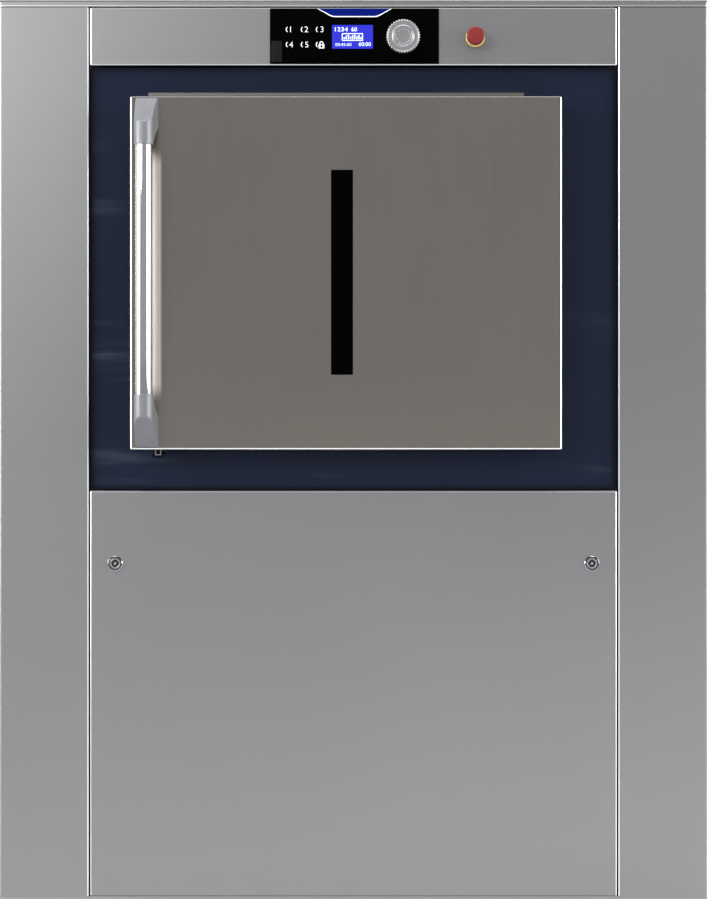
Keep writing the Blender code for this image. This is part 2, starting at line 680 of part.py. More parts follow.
def quarter_locks(side):
    """Slotted quarter-turn locks whose cams reach behind the columns' lips."""
    front = FRONT - SEAT - QUARTER_LOCK_HEAD
    cam_y = (LIP_BACK + SEAT, LIP_BACK + SEAT + CAM_THICKNESS)
    radius = QUARTER_LOCK_RADIUS
    recess = QUARTER_LOCK_RECESS_RADIUS
    profile = [(front + QUARTER_LOCK_RECESS_DEPTH, 0), (front + QUARTER_LOCK_RECESS_DEPTH, recess),
               (front, recess), (front, radius - QUARTER_LOCK_EDGE),
               (front + QUARTER_LOCK_EDGE, radius), (FRONT - SEAT, radius),
               (FRONT - SEAT, QUARTER_LOCK_BARREL), (cam_y[1] + CAM_THICKNESS, QUARTER_LOCK_BARREL),
               (cam_y[1] + CAM_THICKNESS, 0)]
    for name, way in (("quarter_lock_left", -1), ("quarter_lock_right", 1)):
        centre = (way * QUARTER_LOCK_X, QUARTER_LOCK_Z)
        made = piece(name, turned(profile, "Y", centre, ROUND_STEPS), bright_steel(), side,
                     (centre[0], FRONT, centre[1]))
        cam_x = sorted((centre[0], centre[0] + way * CAM_LENGTH))
        cam_z = (centre[1] - CAM_WIDTH / 2, centre[1] + CAM_WIDTH / 2)
        add(made, box(cam_x, cam_y, cam_z))


def door_surround(side):
    x = (-PANEL_HALF_WIDTH, PANEL_HALF_WIDTH)
    z = (SURROUND_BOTTOM, SURROUND_TOP)
    made = piece("door_surround", box(x, (SURROUND_FRONT, RETURN_END), z), navy_gloss(), side)
    cut(made, box(around(x, -SURROUND_SHEET), (SURROUND_BACK, RETURN_END + OVERRUN),
                  around(z, -SURROUND_SHEET)))
    opening = rounded_rectangle(around(mouth_x(), GASKET_SECTION + GASKET_CLEARANCE),
                                around(mouth_z(), GASKET_SECTION + GASKET_CLEARANCE), MOUTH_CORNER)
    cut(made, prism(opening, "Y", SURROUND_FRONT - OVERRUN, SURROUND_BACK + OVERRUN))
    cut(made, box(SLOT_X, (SURROUND_FRONT - OVERRUN, SURROUND_BACK + OVERRUN), SLOT_Z))


def fascia(side, has_controller):
    x = (-PANEL_HALF_WIDTH, PANEL_HALF_WIDTH)
    made = panel("fascia", x, (FASCIA_BOTTOM, FASCIA_TOP), satin_steel(), side)
    through = (FRONT - OVERRUN, FRONT + PANEL_SHEET + OVERRUN)
    cut(made, bore("Y", ESTOP_PLACE, ESTOP_BARREL_RADIUS, *through, steps=ROUND_STEPS))
    if has_controller:
        cut(made, box(around(CONTROLLER_X, SEAT), through, around(CONTROLLER_Z, SEAT)))


# Door

def mouth_x():
    return around((DOOR_CENTRE_X, DOOR_CENTRE_X), MOUTH_WIDTH / 2)


def mouth_z():
    return around((DOOR_CENTRE_Z, DOOR_CENTRE_Z), MOUTH_HEIGHT / 2)


def mouth_gasket(side):
    outer = rounded_rectangle(around(mouth_x(), GASKET_SECTION), around(mouth_z(), GASKET_SECTION),
                              MOUTH_CORNER)
    inner = rounded_rectangle(mouth_x(), mouth_z(), MOUTH_CORNER)
    piece("mouth_gasket", frame_prism(outer, inner, "Y", GASKET_FRONT, GASKET_BACK),
          dark_rubber(), side)


def arm_z(height):
    return height - HINGE_ARM_HEIGHT / 2, height + HINGE_ARM_HEIGHT / 2


def hinge_post(side):
    """The strip on the surround that carries the two fixed hinge arms."""
    post_back = SURROUND_FRONT - SEAT
    post_front = post_back - HINGE_POST_THICKNESS
    x = (HINGE_X - HINGE_POST_LEFT, HINGE_X + HINGE_POST_RIGHT)
    z = (HINGE_HEIGHTS[0] - HINGE_POST_MARGIN, HINGE_HEIGHTS[1] + HINGE_POST_MARGIN)
    made = piece("hinge_post", box(x, (post_front, post_back), z), bright_steel(), side)
    arm_x = (HINGE_X - HINGE_ARM_THICKNESS / 2, HINGE_X + HINGE_ARM_THICKNESS / 2)
    for height in HINGE_HEIGHTS:
        low, high = arm_z(height)
        add(made, box(arm_x, (HINGE_Y, post_front + HINGE_POST_THICKNESS / 2), (low, high)))
        add(made, rod("Z", (HINGE_X, HINGE_Y), HINGE_EYE_RADIUS, low, high))
    cut(made, bore("Z", (HINGE_X, HINGE_Y), HINGE_PIN_RADIUS, z[0], z[1]))


def hinge_pin(side):
    low = HINGE_HEIGHTS[0] - KNUCKLE_REACH
    high = HINGE_HEIGHTS[1] + KNUCKLE_REACH
    piece("hinge_pin", rod("Z", (HINGE_X, HINGE_Y), HINGE_PIN_RADIUS, low, high),
          bright_steel(), side)


def hinge_pivot():
    return HINGE_X, HINGE_Y, 0


def door_skin(side):
    x = (DOOR_LEFT, DOOR_RIGHT)
    z = (DOOR_BOTTOM, DOOR_TOP)
    made = piece("door_skin", soften(box(x, (DOOR_FRONT, DOOR_BACK), z), DOOR_BEND,
                                     lambda place: place.y > DOOR_BACK - SEAT),
                 brushed_steel(), side, hinge_pivot())
    inside = DOOR_FRONT + DOOR_SHEET
    cut(made, box(around(x, -DOOR_SHEET), (inside, DOOR_BACK + OVERRUN), around(z, -DOOR_SHEET)))
    cut(made, box(WINDOW_X, (DOOR_FRONT - OVERRUN, inside + OVERRUN), WINDOW_Z))
    for height in HINGE_HEIGHTS:
        cut(made, box((HINGE_X, DOOR_RIGHT + OVERRUN), (inside + SEAT, DOOR_BACK + OVERRUN),
                      around(arm_z(height), HINGE_NOTCH_GAP)))


def plug_spans():
    return around(mouth_x(), PLUG_OVERLAP), around(mouth_z(), PLUG_OVERLAP)


def door_pan(side):
    """The inner half of the door: its back plate, the plug in the mouth and the hinge knuckles."""
    plate_x = around((DOOR_LEFT, DOOR_RIGHT), -DOOR_SHEET - SEAT)
    plate_z = around((DOOR_BOTTOM, DOOR_TOP), -DOOR_SHEET - SEAT)
    plug_x, plug_z = plug_spans()
    made = piece("door_pan", box(plate_x, (PAN_FRONT, PAN_BACK), plate_z), wash_steel(), side,
                 hinge_pivot())
    plug = rounded_rectangle(plug_x, plug_z, MOUTH_CORNER)
    inner = rounded_rectangle(around(plug_x, -PAN_SHEET), around(plug_z, -PAN_SHEET),
                              MOUTH_CORNER - PAN_SHEET)
    add(made, prism(plug, "Y", PAN_FRONT + PAN_SHEET / 2, PLUG_BACK))
    lip_x = (DOOR_LEFT + DRIP_LIP_LEFT, DOOR_RIGHT - DRIP_LIP_RIGHT)
    lip_y = (DOOR_BACK + SEAT, DOOR_BACK + SEAT + DRIP_LIP_THICKNESS)
    add(made, box(lip_x, lip_y, (DOOR_TOP - DRIP_LIP_ROOT, DOOR_TOP + DRIP_LIP_RISE)))
    web_x = (HINGE_X - HINGE_ARM_THICKNESS / 2, HINGE_X + HINGE_ARM_THICKNESS / 2)
    for height in HINGE_HEIGHTS:
        low, high = around(arm_z(height), SEAT)
        for z in ((low - HINGE_KNUCKLE_HEIGHT, low), (high, high + HINGE_KNUCKLE_HEIGHT)):
            add(made, box(web_x, (HINGE_Y, PAN_FRONT + PAN_SHEET / 2), z))
            add(made, rod("Z", (HINGE_X, HINGE_Y), HINGE_EYE_RADIUS, *z))
        cut(made, box((web_x[0] - HINGE_ARM_THICKNESS, DOOR_RIGHT),
                      around((PAN_FRONT, PAN_BACK), OVERRUN),
                      around(arm_z(height), HINGE_NOTCH_GAP)))
    cut(made, prism(inner, "Y", PAN_FRONT - OVERRUN, PLUG_BACK - PAN_SHEET))
    cut(made, bore("Z", (HINGE_X, HINGE_Y), HINGE_PIN_RADIUS, plate_z[0], plate_z[1]))
    cut(made, box(WINDOW_X, (PLUG_BACK - PAN_SHEET - OVERRUN, PLUG_BACK + OVERRUN), WINDOW_Z))


def window(side):
    """A clear moulding: the pane in the skin's slot, its flange and the walls back to the pan."""
    x = around(WINDOW_X, -SEAT)
    z = around(WINDOW_Z, -SEAT)
    front = DOOR_FRONT + WINDOW_RECESS
    behind_skin = DOOR_FRONT + DOOR_SHEET + SEAT
    made = piece("window", box(x, (front, PLUG_BACK), z), clear_glass(), side, hinge_pivot())
    add(made, box(around(x, WINDOW_FLANGE), (behind_skin, behind_skin + WINDOW_WALL),
                  around(z, WINDOW_FLANGE)))
    cut(made, box(around(x, -WINDOW_WALL), (behind_skin + WINDOW_WALL, PLUG_BACK + OVERRUN),
                  around(z, -WINDOW_WALL)))


def handle_tube(side):
    inner = HANDLE_TUBE_RADIUS - HANDLE_TUBE_WALL
    sockets = FOOT_TOTAL_HEIGHT - FOOT_SOCKET_DEPTH + SEAT
    low = DOOR_BOTTOM + HANDLE_EDGE_END + sockets
    high = DOOR_TOP - HANDLE_EDGE_END - sockets
    profile = [(low, HANDLE_TUBE_RADIUS), (high, HANDLE_TUBE_RADIUS), (high, inner), (low, inner)]
    piece("handle_tube", turned(profile, "Z", (HANDLE_X, HANDLE_Y), ROUND_STEPS),
          bright_steel(), side, hinge_pivot())


def handle_foot(name, side, root_end, way):
    """A cast foot: a wedge that rises from the door to the collar round the end of the tube.

    way is -1 where the collar lies below the root and 1 where it lies above.
    """
    left = HANDLE_X - FOOT_COLLAR_RADIUS
    root_y = DOOR_FRONT - SEAT
    front_y = HANDLE_Y - FOOT_COLLAR_RADIUS
    collar_end = root_end + way * FOOT_TOTAL_HEIGHT
    collar_start = collar_end - way * FOOT_COLLAR_HEIGHT
    right_root = left + FOOT_ROOT_WIDTH
    right_front = left + FOOT_FRONT_WIDTH
    outline = [(root_y, root_end), (root_y - FOOT_TOP_DEPTH, root_end),
               (front_y, root_end + way * FOOT_SLOPE_DROP), (front_y, collar_start + way * OVERRUN),
               (HANDLE_Y, collar_start + way * OVERRUN), (HANDLE_Y, collar_end - way * FOOT_WEB_MARGIN),
               (root_y, root_end + way * FOOT_ROOT_HEIGHT)]
    wedge = bmesh.new()
    near = [wedge.verts.new((left, y, z)) for y, z in outline]
    far = []
    for y, z in outline:
        share = (root_y - y) / (root_y - front_y)
        far.append(wedge.verts.new((right_root + (right_front - right_root) * share, y, z)))
    wedge.faces.new(near)
    wedge.faces.new(far)
    for i in range(len(outline)):
        wedge.faces.new((near[i - 1], near[i], far[i], far[i - 1]))
    bmesh.ops.recalc_face_normals(wedge, faces=wedge.faces)
    made = piece(name, wedge, grey_casting(), side, hinge_pivot())
    centre = (HANDLE_X, HANDLE_Y)
    add(made, rod("Z", centre, FOOT_COLLAR_RADIUS, *sorted((collar_start, collar_end)),
                  steps=ROUND_STEPS))
    socket = (collar_end - way * FOOT_SOCKET_DEPTH, collar_end + way * OVERRUN)
    cut(made, bore("Z", centre, HANDLE_TUBE_RADIUS, *sorted(socket), steps=ROUND_STEPS))


def door_staple(side):
    """A U-shaped strip under the door that reaches back through the surround to the lock."""
    strip = STAPLE_STRIP
    x = STAPLE_X
    z = STAPLE_Z
    outline = [(x[0], z[1]), (x[0], z[0]), (x[1], z[0]), (x[1], z[1]), (x[1] - strip, z[1]),
               (x[1] - strip, z[0] + strip), (x[0] + strip, z[0] + strip), (x[0] + strip, z[1])]
    made = piece("door_staple", prism(outline, "Y", *STAPLE_Y), bright_steel(), side, hinge_pivot())
    cut(made, rod("X", LOCK_BOLT_PLACE, LOCK_BOLT_RADIUS + LOCK_BOLT_HOLE_GAP, *around(x, OVERRUN)))


def lock_case(side):
    front = SURROUND_BACK + SEAT
    cavity_back = STAPLE_Y[1] + STAPLE_SLOT_RISE
    x = (SLOT_X[0] - LOCK_CASE_WALL, SLOT_X[1] + LOCK_CASE_TAIL)
    z = around(SLOT_Z, LOCK_CASE_WALL)
    made = piece("lock_case", box(x, (front, cavity_back + LOCK_CASE_BACK), z), grey_casting(), side)
    cut(made, box(SLOT_X, (front - OVERRUN, cavity_back), SLOT_Z))
    blind_end = SLOT_X[0] - LOCK_CASE_WALL / 2
    cut(made, bore("X", LOCK_BOLT_PLACE, LOCK_BOLT_RADIUS, blind_end, x[1] + OVERRUN))


def lock_bolt(side):
    start = SLOT_X[1] - STAPLE_SLOT_GAP + LOCK_REST_GAP
    end = SLOT_X[1] + LOCK_CASE_TAIL + LOCK_BOLT_TAIL
    piece("lock_bolt", rod("X", LOCK_BOLT_PLACE, LOCK_BOLT_RADIUS, start, end), bright_steel(),
          side, (start, *LOCK_BOLT_PLACE))


# Controls

def estop_collar(side):
    hole = clear_radius(ESTOP_STEM_RADIUS, ROUND_STEPS)
    back = FRONT - SEAT
    front = back - ESTOP_COLLAR_HEIGHT
    end = back + ESTOP_BARREL_LENGTH
    radius = ESTOP_COLLAR_RADIUS
    profile = [(front, hole), (front, radius - ESTOP_COLLAR_EDGE), (front + ESTOP_COLLAR_EDGE, radius),
               (back, radius), (back, ESTOP_BARREL_RADIUS), (end, ESTOP_BARREL_RADIUS), (end, hole)]
    piece("estop_collar", turned(profile, "Y", ESTOP_PLACE, ROUND_STEPS), yellow_plastic(), side)


def estop_cap(side):
    """A mushroom head on a stem, standing off its collar by its travel."""
    under = FRONT - SEAT - ESTOP_COLLAR_HEIGHT - ESTOP_TRAVEL - SEAT
    front = under - ESTOP_CAP_HEIGHT
    radius = ESTOP_CAP_RADIUS
    stem_end = FRONT + ESTOP_BARREL_LENGTH - ESTOP_TRAVEL
    profile = [(front, 0), (front + ESTOP_CAP_CROWN / 2, radius / 2),
               (front + ESTOP_CAP_CROWN, radius - ESTOP_CAP_EDGE),
               (front + ESTOP_CAP_CROWN + ESTOP_CAP_EDGE, radius), (under, radius),
               (under, ESTOP_STEM_RADIUS), (stem_end, ESTOP_STEM_RADIUS), (stem_end, 0)]
    piece("estop_cap", turned(profile, "Y", ESTOP_PLACE, ROUND_STEPS), red_plastic(), side,
          (ESTOP_PLACE[0], under, ESTOP_PLACE[1]))


def control_overlay():
    outline = rounded_rectangle(OVERLAY_X, OVERLAY_Z, OVERLAY_CORNER)
    made = piece("control_overlay", prism(outline, "Y", OVERLAY_FRONT, OVERLAY_BACK), black_plastic())
    cut(made, bore("Y", KNOB_PLACE, ENCODER_RADIUS, *around((OVERLAY_FRONT, OVERLAY_BACK), OVERRUN)))


def controller_box():
    back = CONTROLLER_FRONT + CONTROLLER_DEPTH
    made = piece("controller_box", box(CONTROLLER_X, (CONTROLLER_FRONT, back), CONTROLLER_Z),
                 black_plastic())
    cut(made, bore("Y", KNOB_PLACE, ENCODER_RADIUS, CONTROLLER_FRONT - OVERRUN,
                   CONTROLLER_FRONT + ENCODER_DEPTH + OVERRUN))


def encoder_plunger():
    start = KNOB_FRONT + KNOB_DISH_DEPTH + KNOB_FRONT_WALL + SEAT
    piece("encoder_plunger", rod("Y", KNOB_PLACE, ENCODER_RADIUS, start, CONTROLLER_FRONT + ENCODER_DEPTH),
          bright_steel(), None, (KNOB_PLACE[0], start, KNOB_PLACE[1]))


def program_knob():
    hole = clear_radius(ENCODER_RADIUS, ROUND_STEPS)
    dish = KNOB_FRONT + KNOB_DISH_DEPTH
    profile = [(dish, 0), (dish, KNOB_DISH_RADIUS - KNOB_EDGE), (KNOB_FRONT, KNOB_DISH_RADIUS),
               (KNOB_FRONT, KNOB_RADIUS - KNOB_EDGE), (KNOB_FRONT + KNOB_EDGE, KNOB_RADIUS),
               (KNOB_BACK - KNOB_EDGE, KNOB_RADIUS), (KNOB_BACK, KNOB_RADIUS - KNOB_EDGE),
               (KNOB_BACK, hole), (dish + KNOB_FRONT_WALL, hole), (dish + KNOB_FRONT_WALL, 0)]
    piece("program_knob", turned(profile, "Y", KNOB_PLACE, ROUND_STEPS), bright_steel(), None,
          (KNOB_PLACE[0], KNOB_BACK, KNOB_PLACE[1]))


def port_cover():
    """A flap over the service port, hinged along its left edge."""
    back = OVERLAY_FRONT - SEAT
    front = back - PORT_COVER_THICKNESS
    piece("port_cover", box(PORT_X, (front, back), PORT_Z), dark_rubber(), None,
          (PORT_X[0], (front + back) / 2, PORT_Z[0]))


# Tub and drum

def half_turned(span):
    return -span[1], -span[0]


def tub():
    centre = (0, AXLE_HEIGHT)
    x = (-TUB_HALF_LENGTH, TUB_HALF_LENGTH)
    made = piece("tub", rod("X", centre, TUB_OUTER, *x, steps=DRUM_STEPS), wash_steel())
    ducts = ((mouth_x(), (DUCT_END, 0)), (half_turned(mouth_x()), (0, -DUCT_END)))
    for duct_x, y in ducts:
        add(made, prism(rounded_rectangle(around(duct_x, DUCT_WALL), around(mouth_z(), DUCT_WALL),
                                          MOUTH_CORNER + DUCT_WALL), "Y", *y))
        flange_y = (DUCT_END, DUCT_END + DUCT_WALL) if y[0] else (-DUCT_END - DUCT_WALL, -DUCT_END)
        add(made, prism(rounded_rectangle(around(duct_x, DUCT_FLANGE), around(mouth_z(), DUCT_FLANGE),
                                          MOUTH_CORNER), "Y", *flange_y))
    add(made, rod("Z", (0, 0), SUMP_RADIUS, SUMP_BOTTOM, AXLE_HEIGHT - TUB_RADIUS, steps=ROUND_STEPS))
    cut(made, rod("X", centre, TUB_RADIUS, *around(x, OVERRUN), steps=DRUM_STEPS))
    for duct_x, y in ducts:
        duct_y = (y[0] - OVERRUN, 0) if y[0] else (0, y[1] + OVERRUN)
        cut(made, prism(rounded_rectangle(duct_x, mouth_z(), MOUTH_CORNER), "Y", *duct_y))
    cut(made, rod("Z", (0, 0), SUMP_RADIUS - SUMP_WALL, SUMP_BOTTOM - OVERRUN, AXLE_HEIGHT,
                  steps=ROUND_STEPS))


def ends(name, way):
    """Name and sign of the left-hand or right-hand one of a pair along X."""
    return name + ("_right" if way > 0 else "_left")


def span_x(way, near, far):
    return sorted((way * near, way * far))


def tub_end(way):
    """An end plate of the tub on its own foot, with the bearing housing."""
    centre = (0, AXLE_HEIGHT)
    foot = BASE_HEIGHT + SEAT
    outline = arc(centre, TUB_END_RADIUS, -TUB_END_HIPS, math.pi + TUB_END_HIPS, ROUND_STEPS)
    outline += [(-TUB_END_SPREAD, TUB_END_SHOULDER), (-TUB_END_SPREAD, foot),
                (TUB_END_SPREAD, foot), (TUB_END_SPREAD, TUB_END_SHOULDER)]
    made = piece(ends("tub_end", way), prism(outline, "X", *span_x(way, TUB_END_INNER, TUB_END_OUTER)),
                 painted_frame())
    middle = way * CROSS_RAIL_X
    foot_x = around((middle, middle), TUB_END_FOOT_WIDTH / 2)
    add(made, box(foot_x, (-TUB_END_SPREAD, TUB_END_SPREAD), (foot, foot + TUB_END_FOOT_HEIGHT)))
    add(made, rod("X", centre, HOUSING_RADIUS,
                  *span_x(way, TUB_END_INNER + TUB_END_THICKNESS / 2, HOUSING_END),
                  steps=ROUND_STEPS))
    cut(made, bore("X", centre, BEARING_RADIUS,
                   *span_x(way, TUB_END_INNER + HOUSING_INNER_WALL, HOUSING_END + OVERRUN),
                   steps=ROUND_STEPS))
    cut(made, bore("X", centre, JOURNAL_RADIUS + OVERRUN,
                   *span_x(way, TUB_END_INNER - OVERRUN, HOUSING_END), steps=ROUND_STEPS))


def bearing(way):
    hole = clear_radius(JOURNAL_RADIUS, ROUND_STEPS)
    near, far = span_x(way, BEARING_INNER_X, BEARING_INNER_X + BEARING_WIDTH)
    profile = [(near, hole), (near, BEARING_RADIUS), (far, BEARING_RADIUS), (far, hole)]
    piece(ends("bearing", way), turned(profile, "X", (0, AXLE_HEIGHT), ROUND_STEPS), bright_steel())


def drum_point(radius, angle):
    """A place in the Y-Z plane, at an angle up from straight ahead of the loading side."""
    return -radius * math.cos(angle), AXLE_HEIGHT + radius * math.sin(angle)


def drum_origin():
    return 0, 0, AXLE_HEIGHT


def drum():
    centre = (0, AXLE_HEIGHT)
    length = DRUM_HALF_LENGTH
    inner = DRUM_RADIUS - DRUM_WALL
    hole = clear_radius(JOURNAL_RADIUS, DRUM_STEPS)
    lip = RAIL_FACE - DRUM_RAIL_LIP
    half = [(lip, RAIL_UNDERSIDE), (lip, RAIL_OUTER), (length, RAIL_OUTER), (length, hole),
            (length - DRUM_END_THICKNESS, hole), (length - DRUM_END_THICKNESS, inner)]
    start = [(RAIL_FACE, DRUM_RADIUS), (RAIL_FACE, RAIL_UNDERSIDE)]
    right = start + half
    left = [(-along, radius) for along, radius in reversed(right)]
    made = piece("drum", turned(left + right, "X", centre, DRUM_STEPS), wash_steel(), None,
                 drum_origin())
    step = 2 * math.pi / LIFTER_COUNT
    for i in range(LIFTER_COUNT):
        angle = DRUM_MOUTH_TILT + math.pi / LIFTER_COUNT + i * step
        spread = LIFTER_WIDTH / 2 / inner
        crest = inner - LIFTER_HEIGHT
        root = inner + DRUM_WALL / 2
        outline = [drum_point(crest, angle + spread * LIFTER_CREST_SHARE),
                   drum_point(crest, angle - spread * LIFTER_CREST_SHARE)]
        for j in range(-CORNER_STEPS, CORNER_STEPS + 1):
            outline.append(drum_point(root, angle + spread * j / CORNER_STEPS))
        end = length - DRUM_END_THICKNESS / 2
        add(made, prism(outline, "X", -end, end))
    reach = (RAIL_OUTER + OVERRUN) / math.cos(DRUM_MOUTH_SPAN / 2)
    low = DRUM_MOUTH_TILT - DRUM_MOUTH_SPAN / 2
    high = DRUM_MOUTH_TILT + DRUM_MOUTH_SPAN / 2
    depth = inner - LIFTER_HEIGHT
    wedge = [drum_point(depth, low), drum_point(reach, low), drum_point(reach, high),
             drum_point(depth, high)]
    cut(made, prism(wedge, "X", -DRUM_MOUTH_WIDTH / 2, DRUM_MOUTH_WIDTH / 2))


def drum_shutter():
    """The curved sliding door over the drum's mouth, between the two rails."""
    start_step = math.floor((DRUM_MOUTH_TILT - DRUM_MOUTH_SPAN / 2 - SHUTTER_OVERLAP)
                            * DRUM_STEPS / (2 * math.pi))
    end_step = math.ceil((DRUM_MOUTH_TILT + DRUM_MOUTH_SPAN / 2 + SHUTTER_OVERLAP)
                         * DRUM_STEPS / (2 * math.pi))
    angles = [2 * math.pi * i / DRUM_STEPS for i in range(start_step, end_step + 1)]
    outline = [drum_point(SHUTTER_OUTER, angle) for angle in angles]
    outline += [drum_point(SHUTTER_INNER, angle) for angle in reversed(angles)]
    piece("drum_shutter", prism(outline, "X", -SHUTTER_HALF_LENGTH, SHUTTER_HALF_LENGTH),
          wash_steel(), None, drum_origin())


def drum_journal(way):
    centre = (0, AXLE_HEIGHT)
    spigot = DRUM_HALF_LENGTH - DRUM_END_THICKNESS
    flange = DRUM_HALF_LENGTH + SEAT
    end = PULLEY_X[1] + PULLEY_HUB_PROUD + JOURNAL_PROUD if way > 0 else HOUSING_END
    profile = [(spigot, 0), (spigot, JOURNAL_RADIUS), (flange, JOURNAL_RADIUS),
               (flange, JOURNAL_FLANGE_RADIUS), (flange + JOURNAL_FLANGE_THICKNESS, JOURNAL_FLANGE_RADIUS),
               (flange + JOURNAL_FLANGE_THICKNESS, JOURNAL_RADIUS), (end, JOURNAL_RADIUS), (end, 0)]
    profile = [(way * along, radius) for along, radius in profile]
    piece(ends("drum_journal", way), turned(profile, "X", centre, ROUND_STEPS), bright_steel(),
          None, drum_origin())


def drum_pulley():
    low, high = PULLEY_X
    middle = (low + high) / 2
    web = (middle - DRUM_PULLEY_WEB / 2, middle + DRUM_PULLEY_WEB / 2)
    hole = clear_radius(JOURNAL_RADIUS, PULLEY_STEPS)
    rim = DRUM_PULLEY_RADIUS - DRUM_PULLEY_RIM
    hub = DRUM_PULLEY_HUB_RADIUS
    profile = [(low - PULLEY_HUB_PROUD, hole), (high + PULLEY_HUB_PROUD, hole),
               (high + PULLEY_HUB_PROUD, hub), (web[1], hub), (web[1], rim), (high, rim),
               (high, DRUM_PULLEY_RADIUS), (low, DRUM_PULLEY_RADIUS), (low, rim), (web[0], rim),
               (web[0], hub), (low - PULLEY_HUB_PROUD, hub)]
    piece("drum_pulley", turned(profile, "X", (0, AXLE_HEIGHT), PULLEY_STEPS), painted_frame(),
          None, drum_origin())


def motor_pulley():
    """The small pulley with its shaft, which turns in the motor."""
    low, high = PULLEY_X
    shaft = MOTOR_X[1] - MOTOR_SHAFT_SEAT
    profile = [(shaft, 0), (shaft, MOTOR_SHAFT_RADIUS), (low, MOTOR_SHAFT_RADIUS),
               (low, MOTOR_PULLEY_RADIUS), (high, MOTOR_PULLEY_RADIUS), (high, 0)]
    centre = (MOTOR_CENTRE_Y, MOTOR_AXLE_HEIGHT)
    piece("motor_pulley", turned(profile, "X", centre, PULLEY_STEPS), bright_steel(), None,
          (0, *centre))


def belt_outline(extra):
    """Once round both pulleys, with the wrapped stretches a step of the pulleys at a time."""
    drum_centre = (0, AXLE_HEIGHT)
    motor_centre = (MOTOR_CENTRE_Y, MOTOR_AXLE_HEIGHT)
    span = math.dist(drum_centre, motor_centre)
    heading = math.atan2(motor_centre[1] - drum_centre[1], motor_centre[0] - drum_centre[0])
    lean = math.acos((DRUM_PULLEY_RADIUS - MOTOR_PULLEY_RADIUS) / span)
    large = clear_radius(DRUM_PULLEY_RADIUS, PULLEY_STEPS) + extra
    small = clear_radius(MOTOR_PULLEY_RADIUS, PULLEY_STEPS) + extra
    points = arc(drum_centre, large, heading + lean, heading + 2 * math.pi - lean, PULLEY_STEPS)
    points += arc(motor_centre, small, heading - lean, heading + lean, PULLEY_STEPS // 2)
    return points


def drive_belt():
    middle = (PULLEY_X[0] + PULLEY_X[1]) / 2
    piece("drive_belt", frame_prism(belt_outline(BELT_THICKNESS), belt_outline(0), "X",
                                    middle - BELT_WIDTH / 2, middle + BELT_WIDTH / 2), dark_rubber())


def motor():
    centre = (MOTOR_CENTRE_Y, MOTOR_AXLE_HEIGHT)
    made = piece("motor", rod("X", centre, MOTOR_RADIUS, *MOTOR_X, steps=ROUND_STEPS), painted_frame())
    foot_y = around((MOTOR_CENTRE_Y, MOTOR_CENTRE_Y), MOTOR_FOOT_WIDTH / 2)
    add(made, box(around(MOTOR_X, -SHELF_MARGIN), foot_y,
                  (BASE_HEIGHT + SEAT, BASE_HEIGHT + SEAT + MOTOR_FOOT_HEIGHT)))
    cut(made, bore("X", centre, MOTOR_SHAFT_RADIUS, MOTOR_X[1] - MOTOR_SHAFT_SEAT - OVERRUN,
                   MOTOR_X[1] + OVERRUN, steps=ROUND_STEPS))


# Water

def drain_valve():
    top = SUMP_BOTTOM - SEAT
    under_flange = top - DRAIN_FLANGE_THICKNESS
    profile = [(DRAIN_END_HEIGHT, 0), (DRAIN_END_HEIGHT, DRAIN_PIPE_RADIUS),
               (under_flange, DRAIN_PIPE_RADIUS), (under_flange, DRAIN_FLANGE_RADIUS),
               (top, DRAIN_FLANGE_RADIUS), (top, 0)]
    made = piece("drain_valve", turned(profile, "Z", (0, 0), ROUND_STEPS), black_plastic())
    half = DRAIN_BODY_SIZE / 2
    body_top = under_flange - DRAIN_BODY_DROP
    add(made, box((-half, half), (-half, half), (body_top - DRAIN_BODY_SIZE, body_top)))
    cut(made, rod("Z", (0, 0), DRAIN_BORE_RADIUS, *around((DRAIN_END_HEIGHT, top), OVERRUN)))


def inlet_manifold():
    """The water inlets, hung under the top cover with their nipples in its holes."""
    top = CABINET_HEIGHT - PANEL_SHEET - SEAT
    y = around((INLET_CENTRE_Y, INLET_CENTRE_Y), INLET_WIDTH / 2)
    made = piece("inlet_manifold", box((-INLET_LENGTH / 2, INLET_LENGTH / 2), y,
                                       (top - INLET_HEIGHT, top)), black_plastic())
    for place in inlet_places():
        add(made, rod("Z", place, INLET_NIPPLE_RADIUS, top - INLET_HEIGHT / 2, CABINET_HEIGHT))
        cut(made, rod("Z", place, INLET_NIPPLE_BORE, CABINET_HEIGHT - INLET_NIPPLE_BORE_DEPTH,
                      CABINET_HEIGHT + OVERRUN))


def washer_side(prefix, turn, is_loading):
    """Everything that one room sees: the panels between the columns, the door and its lock."""
    parent = bpy.data.objects.new(f"{prefix}_side", None)
    parent.rotation_euler = (0, 0, turn)
    bpy.context.scene.collection.objects.link(parent)
    side = Side(prefix, parent)
    service_panel(side, is_loading)
    door_surround(side)
    fascia(side, is_loading)
    mouth_gasket(side)
    hinge_post(side)
    hinge_pin(side)
    door_skin(side)
    door_pan(side)
    window(side)
    handle_tube(side)
    handle_foot("handle_foot_upper", side, DOOR_TOP - HANDLE_EDGE_END, -1)
    handle_foot("handle_foot_lower", side, DOOR_BOTTOM + HANDLE_EDGE_END, 1)
    door_staple(side)
    lock_case(side)
    lock_bolt(side)
    estop_collar(side)
    estop_cap(side)
    if is_loading:
        quarter_locks(Side("", parent))


def main():
    for old in list(bpy.data.objects):
        bpy.data.objects.remove(old, do_unlink=True)
    base_frame()
    side_panels()
    top_cover()
    washer_side("front", 0, True)
    washer_side("rear", math.pi, False)
    control_overlay()
    controller_box()
    encoder_plunger()
    program_knob()
    port_cover()
    tub()
    drum()
    drum_shutter()
    for way in (-1, 1):
        tub_end(way)
        bearing(way)
        drum_journal(way)
    drum_pulley()
    motor()
    motor_pulley()
    drive_belt()
    drain_valve()
    inlet_manifold()


main()
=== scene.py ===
import json
import math

